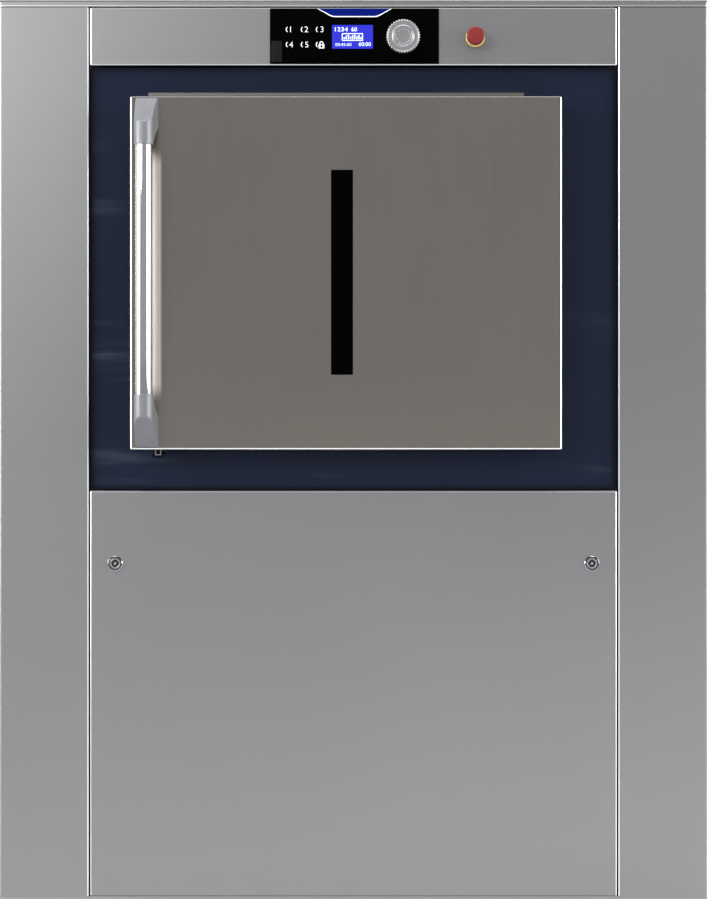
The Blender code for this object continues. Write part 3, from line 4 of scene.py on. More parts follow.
import bpy
import numpy as np
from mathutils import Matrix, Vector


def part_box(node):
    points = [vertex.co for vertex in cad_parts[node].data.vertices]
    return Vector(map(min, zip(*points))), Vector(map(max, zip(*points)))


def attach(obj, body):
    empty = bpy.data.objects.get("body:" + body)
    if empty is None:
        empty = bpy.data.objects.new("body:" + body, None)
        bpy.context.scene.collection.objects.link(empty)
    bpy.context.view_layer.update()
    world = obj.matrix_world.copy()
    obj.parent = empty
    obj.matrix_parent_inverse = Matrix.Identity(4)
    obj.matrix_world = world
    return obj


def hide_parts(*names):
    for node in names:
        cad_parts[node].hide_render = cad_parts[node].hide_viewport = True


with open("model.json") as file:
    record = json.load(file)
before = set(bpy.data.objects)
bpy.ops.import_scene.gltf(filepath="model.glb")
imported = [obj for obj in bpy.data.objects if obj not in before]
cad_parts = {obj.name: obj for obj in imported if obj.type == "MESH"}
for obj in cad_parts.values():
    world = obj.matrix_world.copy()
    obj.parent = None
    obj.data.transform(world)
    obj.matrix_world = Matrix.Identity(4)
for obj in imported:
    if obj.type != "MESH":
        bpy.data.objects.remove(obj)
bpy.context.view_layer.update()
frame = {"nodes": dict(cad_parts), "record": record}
scene = bpy.context.scene
print("washer: frame loaded")

# A side is the loading side as it stands, or the same thing turned half round for the other room.
sideTurns = {"front": np.array((1, 1, 1)), "rear": np.array((-1, -1, 1))}
skinGap = 0.0001   # how far printing and trim stand off the face that carries them


def centreOf(node):
    low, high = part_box(node)
    return (low + high) / 2


# Materials

class Signal:
    # A socket whose sums and products add the Math nodes that work them out.
    def __init__(self, finish, socket):
        self.finish = finish
        self.socket = socket

    def __add__(self, other):
        return self.finish.calc("ADD", self, other)

    def __mul__(self, other):
        return self.finish.calc("MULTIPLY", self, other)

    def __sub__(self, other):
        return self.finish.calc("SUBTRACT", self, other)

    def __rsub__(self, other):
        return self.finish.calc("SUBTRACT", other, self)

    def __truediv__(self, other):
        return self.finish.calc("DIVIDE", self, other)

    __radd__ = __add__
    __rmul__ = __mul__


class Finish:
    # One material: its shader's plain values, and the nodes that vary its colour, gloss and relief.
    def __init__(self, name, colour, **plain):
        self.material = bpy.data.materials.new(name)
        self.material.use_nodes = True
        self.tree = self.material.node_tree
        self.shader = self.tree.nodes["Principled BSDF"]
        self.colour = (*colour, 1)
        self.shader.inputs["Base Color"].default_value = self.colour
        for socket, value in plain.items():
            self.shader.inputs[socket.replace("_", " ")].default_value = value

    def node(self, kind, settings=None, values=None):
        made = self.tree.nodes.new(kind)
        for name, value in (settings or {}).items():
            setattr(made, name, value)
        for name, value in (values or {}).items():
            if isinstance(value, Signal):
                self.tree.links.new(value.socket, made.inputs[name])
            else:
                made.inputs[name].default_value = value
        return made

    def out(self, kind, output, settings=None, values=None):
        return Signal(self, self.node(kind, settings, values).outputs[output])

    def calc(self, operation, *numbers):
        return self.out("ShaderNodeMath", 0, {"operation": operation}, dict(enumerate(numbers)))

    def drive(self, name, signal):
        self.tree.links.new(signal.socket, self.shader.inputs[name])

    def coords(self):
        return self.out("ShaderNodeTexCoord", "Object")

    def place(self, turn=(0, 0, 0), stretch=(1, 1, 1), centre=(0, 0, 0)):
        # Object coordinates, measured from a centre, turned and then stretched.
        moved = self.out("ShaderNodeVectorMath", 0, {"operation": "SUBTRACT"},
                         {0: self.coords(), 1: centre})
        return self.out("ShaderNodeMapping", 0, {"vector_type": "POINT"},
                        {"Vector": moved, "Rotation": turn, "Scale": stretch})

    def axes(self, place):
        # a place's x, y and z, each by itself
        split = self.node("ShaderNodeSeparateXYZ", {}, {"Vector": place})
        return [Signal(self, split.outputs[i]) for i in range(3)]

    def noise(self, place, scale, detail=3.0, roughness=0.55):
        return self.out("ShaderNodeTexNoise", 0, {"noise_dimensions": "3D"},
                        {"Vector": place, "Scale": scale, "Detail": detail, "Roughness": roughness})

    def ramp(self, signal, low, high):
        # 0 below low, 1 above high and smooth between them
        return self.out("ShaderNodeMapRange", 0, {"interpolation_type": "SMOOTHSTEP"},
                        {"Value": signal, "From Min": low, "From Max": high})

    def mix(self, share, first, second):
        return self.out("ShaderNodeMix", 2, {"data_type": "RGBA"},
                        {"Factor": share, 6: first, 7: second})

    def shades(self, signal, spread):
        # the finish's colour, lighter and darker by a share of itself
        dark = tuple(part * (1 - spread) for part in self.colour[:3]) + (1,)
        light = tuple(part * (1 + spread) for part in self.colour[:3]) + (1,)
        return self.mix(signal, dark, light)

    def relief(self, signal, height):
        self.drive("Normal", self.out("ShaderNodeBump", 0, {}, {"Height": signal, "Distance": height}))


# Painted highlights and painted shade on the bends round a sheet's front face: how wide each is and the
# tone it is painted.
paintedRims = {
    "left_side_panel": {"right": (0.0028, 0.99), "top": (0.0016, 0.05)},
    "right_side_panel": {"left": (0.0026, 0.96), "top": (0.0016, 0.05)},
    "top_cover": {"bottom": (0.0022, 0.80), "top": (0.0030, 0.11)},
    "fascia": {"left": (0.0034, 0.95), "right": (0.0020, 0.85), "bottom": (0.0028, 0.62),
               "top": (0.0024, 0.24)},
    "service_panel": {"left": (0.0026, 0.60), "right": (0.0023, 0.90), "top": (0.0034, 0.58)},
    "door_skin": {"left": (0.0032, 0.95), "right": (0.0026, 0.97), "bottom": (0.0030, 0.86),
                  "top": (0.0024, 0.24)},
}
# A painted reflection of the handle's tube on the door skin, a pale band beside the tube: where it starts,
# is full, fades and ends, measured inwards from the skin's handle edge and up from the floor.
tubeReflectionSizes = {"sides": (0.0345, 0.0380, 0.0482, 0.0530), "rows": (0.816, 0.850, 1.200, 1.231),
             "tone": (0.72, 0.67, 0.60, 1)}
# How deep a bend's painted highlight reaches, how soft its edge is and how much glossier it is, and how
# far back the walls of a gap take painted shade and how dark.
gapSizes = {"gap": 0.002, "rimDepth": 0.0024, "rimSoftness": 0.7, "rubbedGloss": 0.1,
            "shadeFrom": 0.0013, "shadeTo": 0.0028, "wall": 0.0012, "wallFade": 1.5, "tone": 0.006}


def paintedLightAndShade(made, tint, gloss, node):
    # Painted highlights and painted shade on the bends of the front face, painted shade on the folded
    # walls where two panels nearly meet, and on the door skin a painted reflection of the handle's tube.
    low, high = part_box(node)
    kind = node.replace("front_", "").replace("rear_", "")
    left, right = (high.x, low.x) if node.startswith("rear") else (low.x, high.x)
    places = {"left": (0, left), "right": (0, right), "bottom": (2, low.z), "top": (2, high.z)}
    coords = made.axes(made.coords())
    depth = max(abs(low.y), abs(high.y)) - made.calc("ABSOLUTE", coords[1])
    softness = gapSizes["rimSoftness"]
    onFace = 1 - made.ramp(depth, gapSizes["rimDepth"] * softness, gapSizes["rimDepth"])
    shaded = made.ramp(depth, gapSizes["shadeFrom"], gapSizes["shadeTo"])
    if kind.endswith("side_panel"):
        fasciaLow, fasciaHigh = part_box("front_fascia")
        places["right"] = (0, fasciaLow.x - gapSizes["gap"])
        places["left"] = (0, fasciaHigh.x + gapSizes["gap"])
    wall = gapSizes["wall"]
    walls = 0
    # each bend painted lighter as a highlight or darker as shade; the walls near it are marked for painted
    # shade
    for where, (width, tone) in paintedRims[kind].items():
        axis, place = places[where]
        reach = made.calc("ABSOLUTE", coords[axis] - place)
        near = (1 - made.ramp(reach, width * softness, width)) * onFace
        tint = made.mix(near, tint, (tone, tone, tone, 1))
        gloss = gloss - near * gapSizes["rubbedGloss"]
        walls = made.calc("MAXIMUM", walls, 1 - made.ramp(reach, wall, wall * gapSizes["wallFade"]))
    if kind == "door_skin":
        # a pale band beside the handle's tube: painted reflection of the tube
        across = made.calc("ABSOLUTE", coords[0] - left)
        band = onFace
        for place, (start, full, fade, end) in ((across, tubeReflectionSizes["sides"]),
                                                (coords[2], tubeReflectionSizes["rows"])):
            band = band * made.ramp(place, start, full) * (1 - made.ramp(place, fade, end))
        tint = made.mix(band, tint, tubeReflectionSizes["tone"])
    elif kind != "top_cover":
        # painted shade on the walls where two panels nearly meet
        shadow = gapSizes["tone"]
        tint = made.mix(walls * shaded, tint, (shadow, shadow, shadow, 1))
    return tint, gloss


noiseMean = 0.5   # what a noise swings about


def steelFinish(name, colour, roughness, sizes, sheet=None, **plain):
    # Rolled or brushed steel: fine lines along one axis, with slow clouds in tone and gloss.
    made = Finish(name, colour, Metallic=1.0, Roughness=roughness, **plain)
    lines = made.noise(made.place(stretch=sizes["stretch"]), sizes["lineScale"], detail=2.0)
    clouds = made.noise(made.place(), sizes["cloudScale"], detail=2.0)
    grain = made.noise(made.place(), sizes["grainScale"], detail=1.0)
    tone = lines * sizes["lineShare"] + clouds * sizes["cloudShare"]
    tone = tone + grain * (1 - sizes["lineShare"] - sizes["cloudShare"])
    gloss = roughness + (tone - noiseMean) * sizes["glossSpread"]
    tint = made.shades(tone, sizes["spread"])
    # a sheet also gets painted bend highlights, painted gap shade and, on the door skin, a painted
    # reflection of the handle's tube
    if sheet:
        tint, gloss = paintedLightAndShade(made, tint, gloss, sheet)
    made.drive("Base Color", tint)
    made.drive("Roughness", gloss)
    made.relief(lines, sizes["depth"])
    return made


wearSizes = {"scaleShare": 0.03, "toneSpread": 0.12, "glossSpread": 0.12}


def plasticFinish(name, colour, roughness, grain, depth, **plain):
    # Moulded plastic, rubber or lacquer: an orange-peel or spark-eroded skin.
    made = Finish(name, colour, Roughness=roughness, **plain)
    skin = made.noise(made.place(), grain, detail=2.0)
    wear = made.noise(made.place(), grain * wearSizes["scaleShare"], detail=3.0)
    made.drive("Base Color", made.shades(wear, wearSizes["toneSpread"]))
    made.drive("Roughness", roughness + (wear - noiseMean) * wearSizes["glossSpread"])
    made.relief(skin, depth)
    return made


# The navy's streaks: how they lean and stretch, where they show, their pale tone and gloss; and the
# corner's shade.
navySizes = {"streakLean": 0.55, "alongScale": 2.2, "acrossScale": 26.0, "streakFrom": 0.52,
             "streakTo": 0.74, "patchScale": 3.1, "patchFrom": 0.45, "patchTo": 0.7,
             "film": (0.036, 0.044, 0.066, 1), "gloss": 0.2, "filmGloss": 0.15,
             "cornerFrom": 0.001, "cornerTo": 0.011, "cornerShare": 0.72,
             "cornerTone": (0.0005, 0.0005, 0.0012, 1)}


def navyFinish():
    # Deep navy gloss with faint pale streaks that rise to the right and gather in patches, and
    # painted shade in the corner where the plate meets the panels round it.
    made = Finish("navyGloss", (0.0086, 0.0126, 0.0285), Roughness=navySizes["gloss"],
                  Specular_IOR_Level=0.16)
    lean = made.place(turn=(0, navySizes["streakLean"], 0),
                      stretch=(navySizes["alongScale"], 1, navySizes["acrossScale"]))
    streaks = made.ramp(made.noise(lean, 1.0, detail=4.0, roughness=0.6),
                        navySizes["streakFrom"], navySizes["streakTo"])
    patches = made.ramp(made.noise(made.place(), navySizes["patchScale"], detail=1.0),
                        navySizes["patchFrom"], navySizes["patchTo"])
    share = streaks * patches
    tint = made.mix(share, made.colour, navySizes["film"])
    coords = made.axes(made.coords())
    low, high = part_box("front_door_surround")
    edge = made.calc("MINIMUM", high.x - made.calc("ABSOLUTE", coords[0]),
                     made.calc("MINIMUM", high.z - coords[2], coords[2] - low.z))
    # painted shade along the plate's edges, where it meets the panels round it
    rim = 1 - made.ramp(edge, navySizes["cornerFrom"], navySizes["cornerTo"])
    tint = made.mix(rim * navySizes["cornerShare"], tint, navySizes["cornerTone"])
    made.drive("Base Color", tint)
    made.drive("Roughness", navySizes["gloss"] + share * navySizes["filmGloss"])
    return made


drumSizes = {"radius": 0.35, "pitch": 0.014, "holeShare": 0.2, "holeEdge": 0.04, "holeDepth": 0.0008,
             "holeTone": (0.01, 0.01, 0.01, 1), "shellFrom": 0.012, "shellTo": 0.008}


def drumFinish():
    # Wash steel with rows of small holes: dark round dots on a grid of length and angle, in the
    # shell only. Every second row is shifted by half a pitch.
    made = Finish("drumSteel", (0.52, 0.52, 0.53), Metallic=1.0, Roughness=0.3)
    radius, pitch = drumSizes["radius"], drumSizes["pitch"]
    along, across, up = made.axes(made.place(centre=(0, 0, centreOf("drum").z)))
    around = made.calc("ARCTAN2", up, across) * (radius / pitch)
    row = along / pitch
    shift = made.calc("FLOOR", row) * 0.5
    alongHole = made.calc("FRACT", row) - 0.5
    aroundHole = made.calc("FRACT", around + shift) - 0.5
    reach = made.calc("SQRT", alongHole * alongHole + aroundHole * aroundHole)
    fromAxle = made.calc("SQRT", across * across + up * up)
    shell = made.ramp(fromAxle, radius - drumSizes["shellFrom"], radius - drumSizes["shellTo"])
    solid = made.ramp(reach, drumSizes["holeShare"], drumSizes["holeShare"] + drumSizes["holeEdge"])
    solid = 1 - (1 - solid) * shell
    made.drive("Base Color", made.mix(solid, drumSizes["holeTone"], made.colour))
    made.drive("Metallic", solid)
    made.relief(solid, drumSizes["holeDepth"])
    return made


screenTones = {"grain": 900.0, "low": (0.034, 0.038, 0.66, 1), "high": (0.045, 0.050, 0.78, 1)}
inkTones = {"roughness": 0.5, "grain": 900.0, "depth": 0.00001, "mottleScale": 700.0, "mottle": 0.92}


def displayFinish():
    # The lit display: blue, with a faint grain.
    made = Finish("displayBlue", (0.004, 0.004, 0.02), Roughness=0.3, Specular_IOR_Level=0.02)
    grain = made.noise(made.place(), screenTones["grain"], detail=1.0)
    made.drive("Emission Color", made.mix(grain, screenTones["low"], screenTones["high"]))
    made.shader.inputs["Emission Strength"].default_value = 1.0
    return made


def litFinish(name, colour, strength):
    # Printing and display segments: plain ink with a faint mottle, glowing by the given strength; the
    # segments glow with the screen's own light, the printing's faint glow is painted light.
    made = plasticFinish(name, colour, inkTones["roughness"], inkTones["grain"], inkTones["depth"])
    mottled = (*(part * inkTones["mottle"] for part in colour), 1)
    made.drive("Emission Color", made.mix(made.noise(made.place(), inkTones["mottleScale"], detail=1.0),
                                          mottled, made.colour))
    made.shader.inputs["Emission Strength"].default_value = strength
    return made


satinLines = {"stretch": (1, 1, 30), "lineScale": 9.0, "cloudScale": 1.4, "grainScale": 420.0,
              "lineShare": 0.15, "cloudShare": 0.45, "spread": 0.06, "glossSpread": 0.10,
              "depth": 0.00001}
doorLines = {"stretch": (150, 1, 2), "lineScale": 4.0, "cloudScale": 3.0, "grainScale": 500.0,
             "lineShare": 0.5, "cloudShare": 0.3, "spread": 0.10, "glossSpread": 0.16,
             "depth": 0.00002}
drawnLines = {"stretch": (90, 90, 1), "lineScale": 6.0, "cloudScale": 8.0, "grainScale": 300.0,
              "lineShare": 0.5, "cloudShare": 0.2, "spread": 0.04, "glossSpread": 0.012,
              "depth": 0.00000002}
tubeLines = dict(drawnLines, spread=0.015, glossSpread=0.0, depth=0.000000004)
# The record's material slots, apart from the two in sheetSlots.
finishes = {
    "wash_steel": steelFinish("washSteel", (0.46, 0.46, 0.465), 0.34, satinLines),
    "bright_steel": steelFinish("brightSteel", (0.46, 0.46, 0.475), 0.15, drawnLines),
    "knob_silver": steelFinish("knobSilver", (0.370, 0.370, 0.378), 0.40, satinLines),
    "grey_casting": plasticFinish("greyCasting", (0.178, 0.184, 0.196), 0.30, 1500.0, 0.000004,
                                  Metallic=0.12),
    "navy_gloss": navyFinish(),
    "painted_frame": plasticFinish("paintedFrame", (0.075, 0.08, 0.085), 0.5, 700.0, 0.00008),
    "black_gloss": plasticFinish("blackGloss", (0.0006, 0.0008, 0.0006), 0.14, 300.0, 0.000002,
                                 Specular_IOR_Level=0.015),
    "black_plastic": plasticFinish("blackPlastic", (0.015, 0.015, 0.016), 0.45, 1200.0, 0.00005),
    "dark_rubber": plasticFinish("darkRubber", (0.022, 0.022, 0.023), 0.62, 900.0, 0.00006),
    "window_glass": plasticFinish("windowGlass", (0.0004, 0.0004, 0.0004), 0.05, 40.0, 0.000002,
                                  Specular_IOR_Level=0.02),
    "red_plastic": plasticFinish("redPlastic", (0.190, 0.0200, 0.0205), 0.42, 900.0, 0.00004,
                                 Specular_IOR_Level=0.22),
    "yellow_plastic": plasticFinish("yellowPlastic", (0.78, 0.58, 0.14), 0.36, 900.0, 0.00004),
}
extraFinishes = {
    "pierced": drumFinish(),
    "display": displayFinish(),
    # the printing's faint glow is painted light
    "ink": litFinish("whiteInk", (0.84, 0.84, 0.86), 0.1),
    "segment": litFinish("displaySegment", (0.62, 0.70, 0.95), 0.50),
    "tab": plasticFinish("tabBlue", (0.0023, 0.0075, 0.125), 0.3, 500.0, 0.000002,
                         Specular_IOR_Level=0.03),
    "pan": steelFinish("panSteel", (0.216, 0.207, 0.189), 0.38, satinLines),
    "tube": steelFinish("tubeSteel", (0.60, 0.60, 0.615), 0.06, tubeLines),
    "blackened": steelFinish("blackenedSteel", (0.035, 0.036, 0.040), 0.45, satinLines),
    "insert": plasticFinish("lockInsert", (0.006, 0.006, 0.006), 0.3, 900.0, 0.00003),
    "cover": plasticFinish("coverPlastic", (0.0058, 0.0058, 0.0062), 0.42, 900.0, 0.00004,
                           Specular_IOR_Level=0.12),
}
# Each sheet in these slots has a finish of its own, because its painted bend highlights, painted gap shade
# and painted tube reflection are drawn by place.
sheetSlots = {"satin_steel": ((0.311, 0.311, 0.314), 0.40, satinLines, {}),
              "brushed_door_steel": ((0.236, 0.215, 0.191), 0.34, doorLines,
                                     {"Anisotropic": 0.85, "Anisotropic_Rotation": 0.25})}
piercedNodes = ("drum", "drum_shutter")
endingFinishes = {"lock_bolt": "blackened", "door_pan": "pan"}


def finishFor(node, slot):
    for ending, name in endingFinishes.items():
        if node.endswith(ending):
            return extraFinishes[name]
    if slot in sheetSlots:
        colour, roughness, sizes, plain = sheetSlots[slot]
        return steelFinish(f"{node}_steel", colour, roughness, sizes, node, **plain)
    if node in piercedNodes:
        return extraFinishes["pierced"]
    return finishes[slot]


for part in frame["record"]["subparts"]:
    finish = finishFor(part["node"], part["material_slot"])
    frame["nodes"][part["node"]].material_slots[0].material = finish.material
print("washer: finishes made")


# Surfaces

def meshPiece(name, points, faces, finish, body, sharpAngle=32):
    mesh = bpy.data.meshes.new(name)
    mesh.from_pydata(np.asarray(points, float).reshape(-1, 3).tolist(), [], faces)
    mesh.materials.append(finish.material)
    mesh.shade_smooth()
    mesh.set_sharp_from_angle(angle=math.radians(sharpAngle))
    made = bpy.data.objects.new(name, mesh)
    scene.collection.objects.link(made)
    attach(made, body)
    return made


def gridFaces(rows, columns, wrap):
    # Four-sided faces between neighbouring points. Columns meet, and rows meet where wrap says so.
    row = np.arange(rows if wrap else rows - 1)[:, None]
    column = np.arange(columns)[None, :]
    after = (row + 1) % rows
    beside = (column + 1) % columns
    corners = (row * columns + column, row * columns + beside, after * columns + beside,
               after * columns + column)
    return np.stack(corners, -1).reshape(-1, 4).tolist()


def loopSurface(loops, wrap, start):
    # Closed loops of points, one after another. The first and last are closed unless they meet.
    # The volume is the sum of each face's corner times its area, and its sign says which way
    # the faces look, so that they are turned outwards.
    rows, columns = loops.shape[:2]
    faces = gridFaces(rows, columns, wrap)
    corners = loops.reshape(-1, 3)[np.array(faces)]
    volume = np.einsum("ij,ij->", corners[:, 0], np.cross(corners[:, 2] - corners[:, 0],
                                                          corners[:, 3] - corners[:, 1]))
    if not wrap:
        ring = np.arange(columns)
        for row, way in ((0, -1), (rows - 1, 1)):
            faces.append((ring[::way] + row * columns).tolist())
            middle = loops[row].mean(0)
            edge = loops[row] - middle
            area = np.cross(edge, np.roll(edge, -1, 0)).sum(0) * way
            volume += middle @ area
    turnedFaces = [face[::-1] for face in faces] if volume < 0 else faces
    return [[corner + start for corner in face] for face in turnedFaces]


def surfacePiece(name, surfaces, finish, body, sharpAngle=32):
    # One piece of several (loops, wrap) surfaces.
    points = []
    faces = []
    for loops, wrap in surfaces:
        faces += loopSurface(loops, wrap, sum(len(part) for part in points))
        points.append(loops.reshape(-1, 3))
    return meshPiece(name, np.concatenate(points), faces, finish, body, sharpAngle)


cornerShare = 0.45   # how much of its shorter neighbour a softened corner may take


def softened(profile, fillet, steps=4, isClosed=False):
    # Each corner gives way to a curve from a point before it to a point after it:
    # (1-t)^2 before + 2t(1-t) corner + t^2 after.
    corners = np.asarray(profile, float)
    back = np.roll(corners, 1, 0) - corners
    ahead = np.roll(corners, -1, 0) - corners
    room = np.minimum(np.linalg.norm(back, axis=1), np.linalg.norm(ahead, axis=1)) * cornerShare
    reach = np.minimum(np.broadcast_to(fillet, len(corners)), room)[:, None]
    before = corners + back / np.linalg.norm(back, axis=1)[:, None] * reach
    after = corners + ahead / np.linalg.norm(ahead, axis=1)[:, None] * reach
    t = np.linspace(0, 1, steps + 1)[None, :, None]
    curve = (1 - t) ** 2 * before[:, None] + 2 * t * (1 - t) * corners[:, None] + t ** 2 * after[:, None]
    curve = curve.reshape(-1, 2)
    if isClosed:
        return curve
    return np.concatenate([corners[:1], curve[steps + 1:-steps - 1], corners[-1:]])


def filleted(points, steps=4, isClosed=False):
    # A softened profile whose points are (along, radius, fillet).
    points = np.asarray(points, float)
    return softened(points[:, :2], points[:, 2], steps, isClosed)


def turned(profile, axis, centre, steps=72, ripple=None):
    # Each (along, radius) point goes round the axis: radius times cosine across, times sine up.
    # ripple(angle, share) scales the radius, where share is 0 on the axis and 1 at the rim.
    profile = np.asarray(profile, float)
    angle = np.linspace(0, 2 * np.pi, steps, endpoint=False)[None, :]
    along = np.broadcast_to(profile[:, :1], (len(profile), steps))
    radius = np.broadcast_to(profile[:, 1:2], along.shape)
    if ripple:
        radius = radius * ripple(angle, radius / profile[:, 1].max())
    a = centre[0] + radius * np.cos(angle)
    b = centre[1] + radius * np.sin(angle)
    return np.stack({"Y": (a, along, b), "Z": (a, b, along)}[axis], -1)


def roundedLoop(x, z, radius, steps=6):
    # Four quarter circles about the corners' centres, as (x, z) points.
    quarter = np.repeat(np.arange(4), steps + 1)
    angle = (quarter + np.tile(np.linspace(0, 1, steps + 1), 4)) * np.pi / 2
    sideX = np.array((1, -1, -1, 1))[quarter]
    sideZ = np.array((1, 1, -1, -1))[quarter]
    middle = np.array(((x[0] + x[1]) / 2, (z[0] + z[1]) / 2))
    half = np.array(((x[1] - x[0]) / 2, (z[1] - z[0]) / 2)) - radius
    return np.stack([middle[0] + sideX * half[0] + radius * np.cos(angle),
                     middle[1] + sideZ * half[1] + radius * np.sin(angle)], -1)


def upright(outline, y):
    # A flat (x, z) outline stood up at a depth.
    outline = np.asarray(outline, float)
    return np.stack([outline[:, 0], np.full(len(outline), y), outline[:, 1]], -1)


def slab(outline, front, back):
    return np.stack([upright(outline, front), upright(outline, back)])


# Handle

handleSizes = {"slopeDrop": 0.0475, "topDepth": 0.006, "rootHeight": 0.047, "webMargin": 0.002,
               "intoTube": 0.0003, "socketDepth": 0.014, "socketPlay": 0.0007, "tubeEdge": 0.0008,
               "facetEdge": 0.0009, "flare": 2.0, "crowding": 1.5, "tipRound": 0.0012,
               "tipInset": 0.0008, "endRound": 0.001, "endInset": 0.0006}
# Where the foot's sections lie, and how many points its front, back and flanks have.
footRows = {"tip": (0.0, 0.0002, 0.0006, 0.0012), "even": 0.002, "evenCount": 84,
            "end": (0.0010, 0.0004, 0.0001, 0.0), "front": 81, "back": 41, "flank": 10}


def quarterRound(distance, radius):
    # A quarter circle's rise over a distance: the root of 1 - (1 - distance / radius)^2.
    return np.sqrt(np.clip(1 - (1 - np.clip(distance / radius, 0, 1)) ** 2, 0, 1))


def footLoops(footBox, tubeCentre, tubeRadius, way):
    # Sections across the handle, from the root to the collar's end: the collar's circle in front,
    # flanks that run straight back from it, and a flat back on the door that gives way to the web
    # and then to the circle. A slanted plane cuts the front away towards the root, so its face
    # ends in a round tongue. The right flank flares by ((y - front) / depth) ** flare.
    low, high = footBox
    radius = tubeCentre.x - low.x
    root = high.z if way < 0 else low.z
    height = high.z - low.z
    door = high.y
    edge = handleSizes["facetEdge"]
    drop = np.concatenate([np.array(footRows["tip"]),
                           np.linspace(footRows["even"], height - footRows["even"],
                                       footRows["evenCount"]),
                           height - np.array(footRows["end"])])[:, None]
    slope = np.clip(drop / handleSizes["slopeDrop"], 0, 1)
    plane = (door - handleSizes["topDepth"]) * (1 - slope) + (low.y - edge * 2) * slope
    rise = np.clip((drop - handleSizes["rootHeight"])
                   / (height - handleSizes["webMargin"] - handleSizes["rootHeight"]), 0, 1)
    back = door * (1 - rise) + (tubeCentre.y + handleSizes["intoTube"]) * rise
    front = np.linspace(np.pi, 2 * np.pi, footRows["front"])[None, :]
    rear = np.linspace(0, np.pi, footRows["back"])[None, :]
    flank = (np.linspace(0, 1, footRows["flank"] + 2)[1:-1] ** handleSizes["crowding"])[None, :]
    frontX = np.broadcast_to(radius * np.cos(front), (len(drop), footRows["front"]))
    frontY = np.broadcast_to(tubeCentre.y + radius * np.sin(front), frontX.shape)
    rearX = np.broadcast_to(radius * np.cos(rear), (len(drop), footRows["back"]))
    rearY = np.maximum(tubeCentre.y + radius * np.sin(rear), back)
    start = np.maximum(tubeCentre.y, plane)
    flankY = start + (back - start) * flank
    x = np.concatenate([frontX, np.full(flankY.shape, radius), rearX, np.full(flankY.shape, -radius)], 1)
    y = np.concatenate([frontY, flankY, rearY, flankY[:, ::-1]], 1)
    y = (y + plane + np.sqrt((y - plane) ** 2 + edge ** 2)) / 2
    y = np.minimum(y, door)
    rounding = edge * np.exp(-np.clip(y - plane, 0, 1) / edge)
    shrink = (handleSizes["tipInset"] * (1 - quarterRound(drop, handleSizes["tipRound"]))
              + handleSizes["endInset"] * (1 - quarterRound(height - drop, handleSizes["endRound"])))
    x = x * (1 - (rounding + shrink) / radius)
    reach = np.clip((y - low.y) / (door - low.y), 0, 1)
    x = x + (high.x - low.x - 2 * radius) * reach ** handleSizes["flare"] * np.clip(x / radius, 0, 1)
    y = np.minimum(y + shrink * (y < (plane + door) / 2), door)
    z = np.broadcast_to(root + way * drop, x.shape)
    outer = np.stack([x + tubeCentre.x, y, z], -1)
    mouth = np.arctan2(outer[-1, :, 1] - tubeCentre.y, x[-1])
    hole = tubeRadius + handleSizes["socketPlay"]
    inner = [np.stack([tubeCentre.x + hole * np.cos(mouth), tubeCentre.y + hole * np.sin(mouth),
                       np.full(len(mouth), root + way * (height - sink))], -1)
             for sink in (0.0, handleSizes["socketDepth"])]
    return np.concatenate([outer, np.stack(inner)])


def handlePieces(side):
    # The tube is a softened rectangle turned about its axis; a foot holds it at each end.
    turn = sideTurns[side]
    body = f"{side}_door"
    tubeCentre = centreOf("front_handle_tube")
    low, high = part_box("front_handle_tube")
    radius = (high.x - low.x) / 2
    profile = softened([(low.z, 0), (low.z, radius), (high.z, radius), (high.z, 0)],
                       handleSizes["tubeEdge"])[1:-1]
    loops = turned(profile, "Z", (tubeCentre.x, tubeCentre.y), 96) * turn
    tube = surfacePiece(f"{side}HandleTube", [(loops, False)], extraFinishes["tube"], body)
    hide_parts(f"{side}_handle_tube")
    for end, way in (("upper", -1), ("lower", 1)):
        loops = footLoops(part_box(f"front_handle_foot_{end}"), tubeCentre, radius, way) * turn
        foot = surfacePiece(f"{side}HandleFoot{end.title()}", [(loops, False)],
                            finishes["grey_casting"], body, 40)
        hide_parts(f"{side}_handle_foot_{end}")


for side in sideTurns:
    handlePieces(side)
print("washer: handles made")


# Mouth gasket

gasketSizes = {"section": 0.018, "corner": 0.030, "lip": 0.004, "groove": 0.002, "edge": 0.0015}


def gasketPiece(side):
    # A lipped section carried round the rounded mouth: each section point is a rounded loop that is
    # inset by the point's first value, at the depth of its second. Its points are shares of the
    # section and of the gasket's depth.
    low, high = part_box("front_mouth_gasket")
    width = high.y - low.y
    section = gasketSizes["section"]
    groove = low.y + gasketSizes["groove"]
    lip = section - gasketSizes["lip"]
    profile = softened([(0, high.y), (0, low.y + width * 0.25), (section * 0.2, low.y),
                        (section * 0.45, low.y), (section * 0.5, groove), (section * 0.65, groove),
                        (section * 0.7, low.y), (section, low.y + width * 0.1),
                        (section, low.y + width * 0.45), (lip, low.y + width * 0.7), (lip, high.y)],
                       gasketSizes["edge"], 4, True)
    loops = np.stack([upright(roundedLoop((low.x + inset, high.x - inset), (low.z + inset, high.z - inset),
                                          gasketSizes["corner"], 10), depth) for inset, depth in profile])
    gasket = surfacePiece(f"{side}MouthGasket", [(loops * sideTurns[side], True)],
                          finishes["dark_rubber"], "cabinet", 50)
    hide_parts(f"{side}_mouth_gasket")


for side in sideTurns:
    gasketPiece(side)
print("washer: gaskets made")


# Emergency stop

stopSizes = {"capEdge": 0.0034, "capCrown": 0.0012, "crownSoft": 0.004, "skirtLean": 0.0005,
             "skirtDepth": 0.010, "skirtFoot": 0.0025, "overCollar": 0.0053, "scallops": 16,
             "scallopShare": 0.010, "poleShare": 0.02, "stem": 0.007, "stemPlay": 0.0004,
             "barrel": 0.011, "collarEdge": 0.0016, "collarLean": (0.0022, 0.0028),
             "offPanel": 0.0003, "smallEdge": 0.0004}


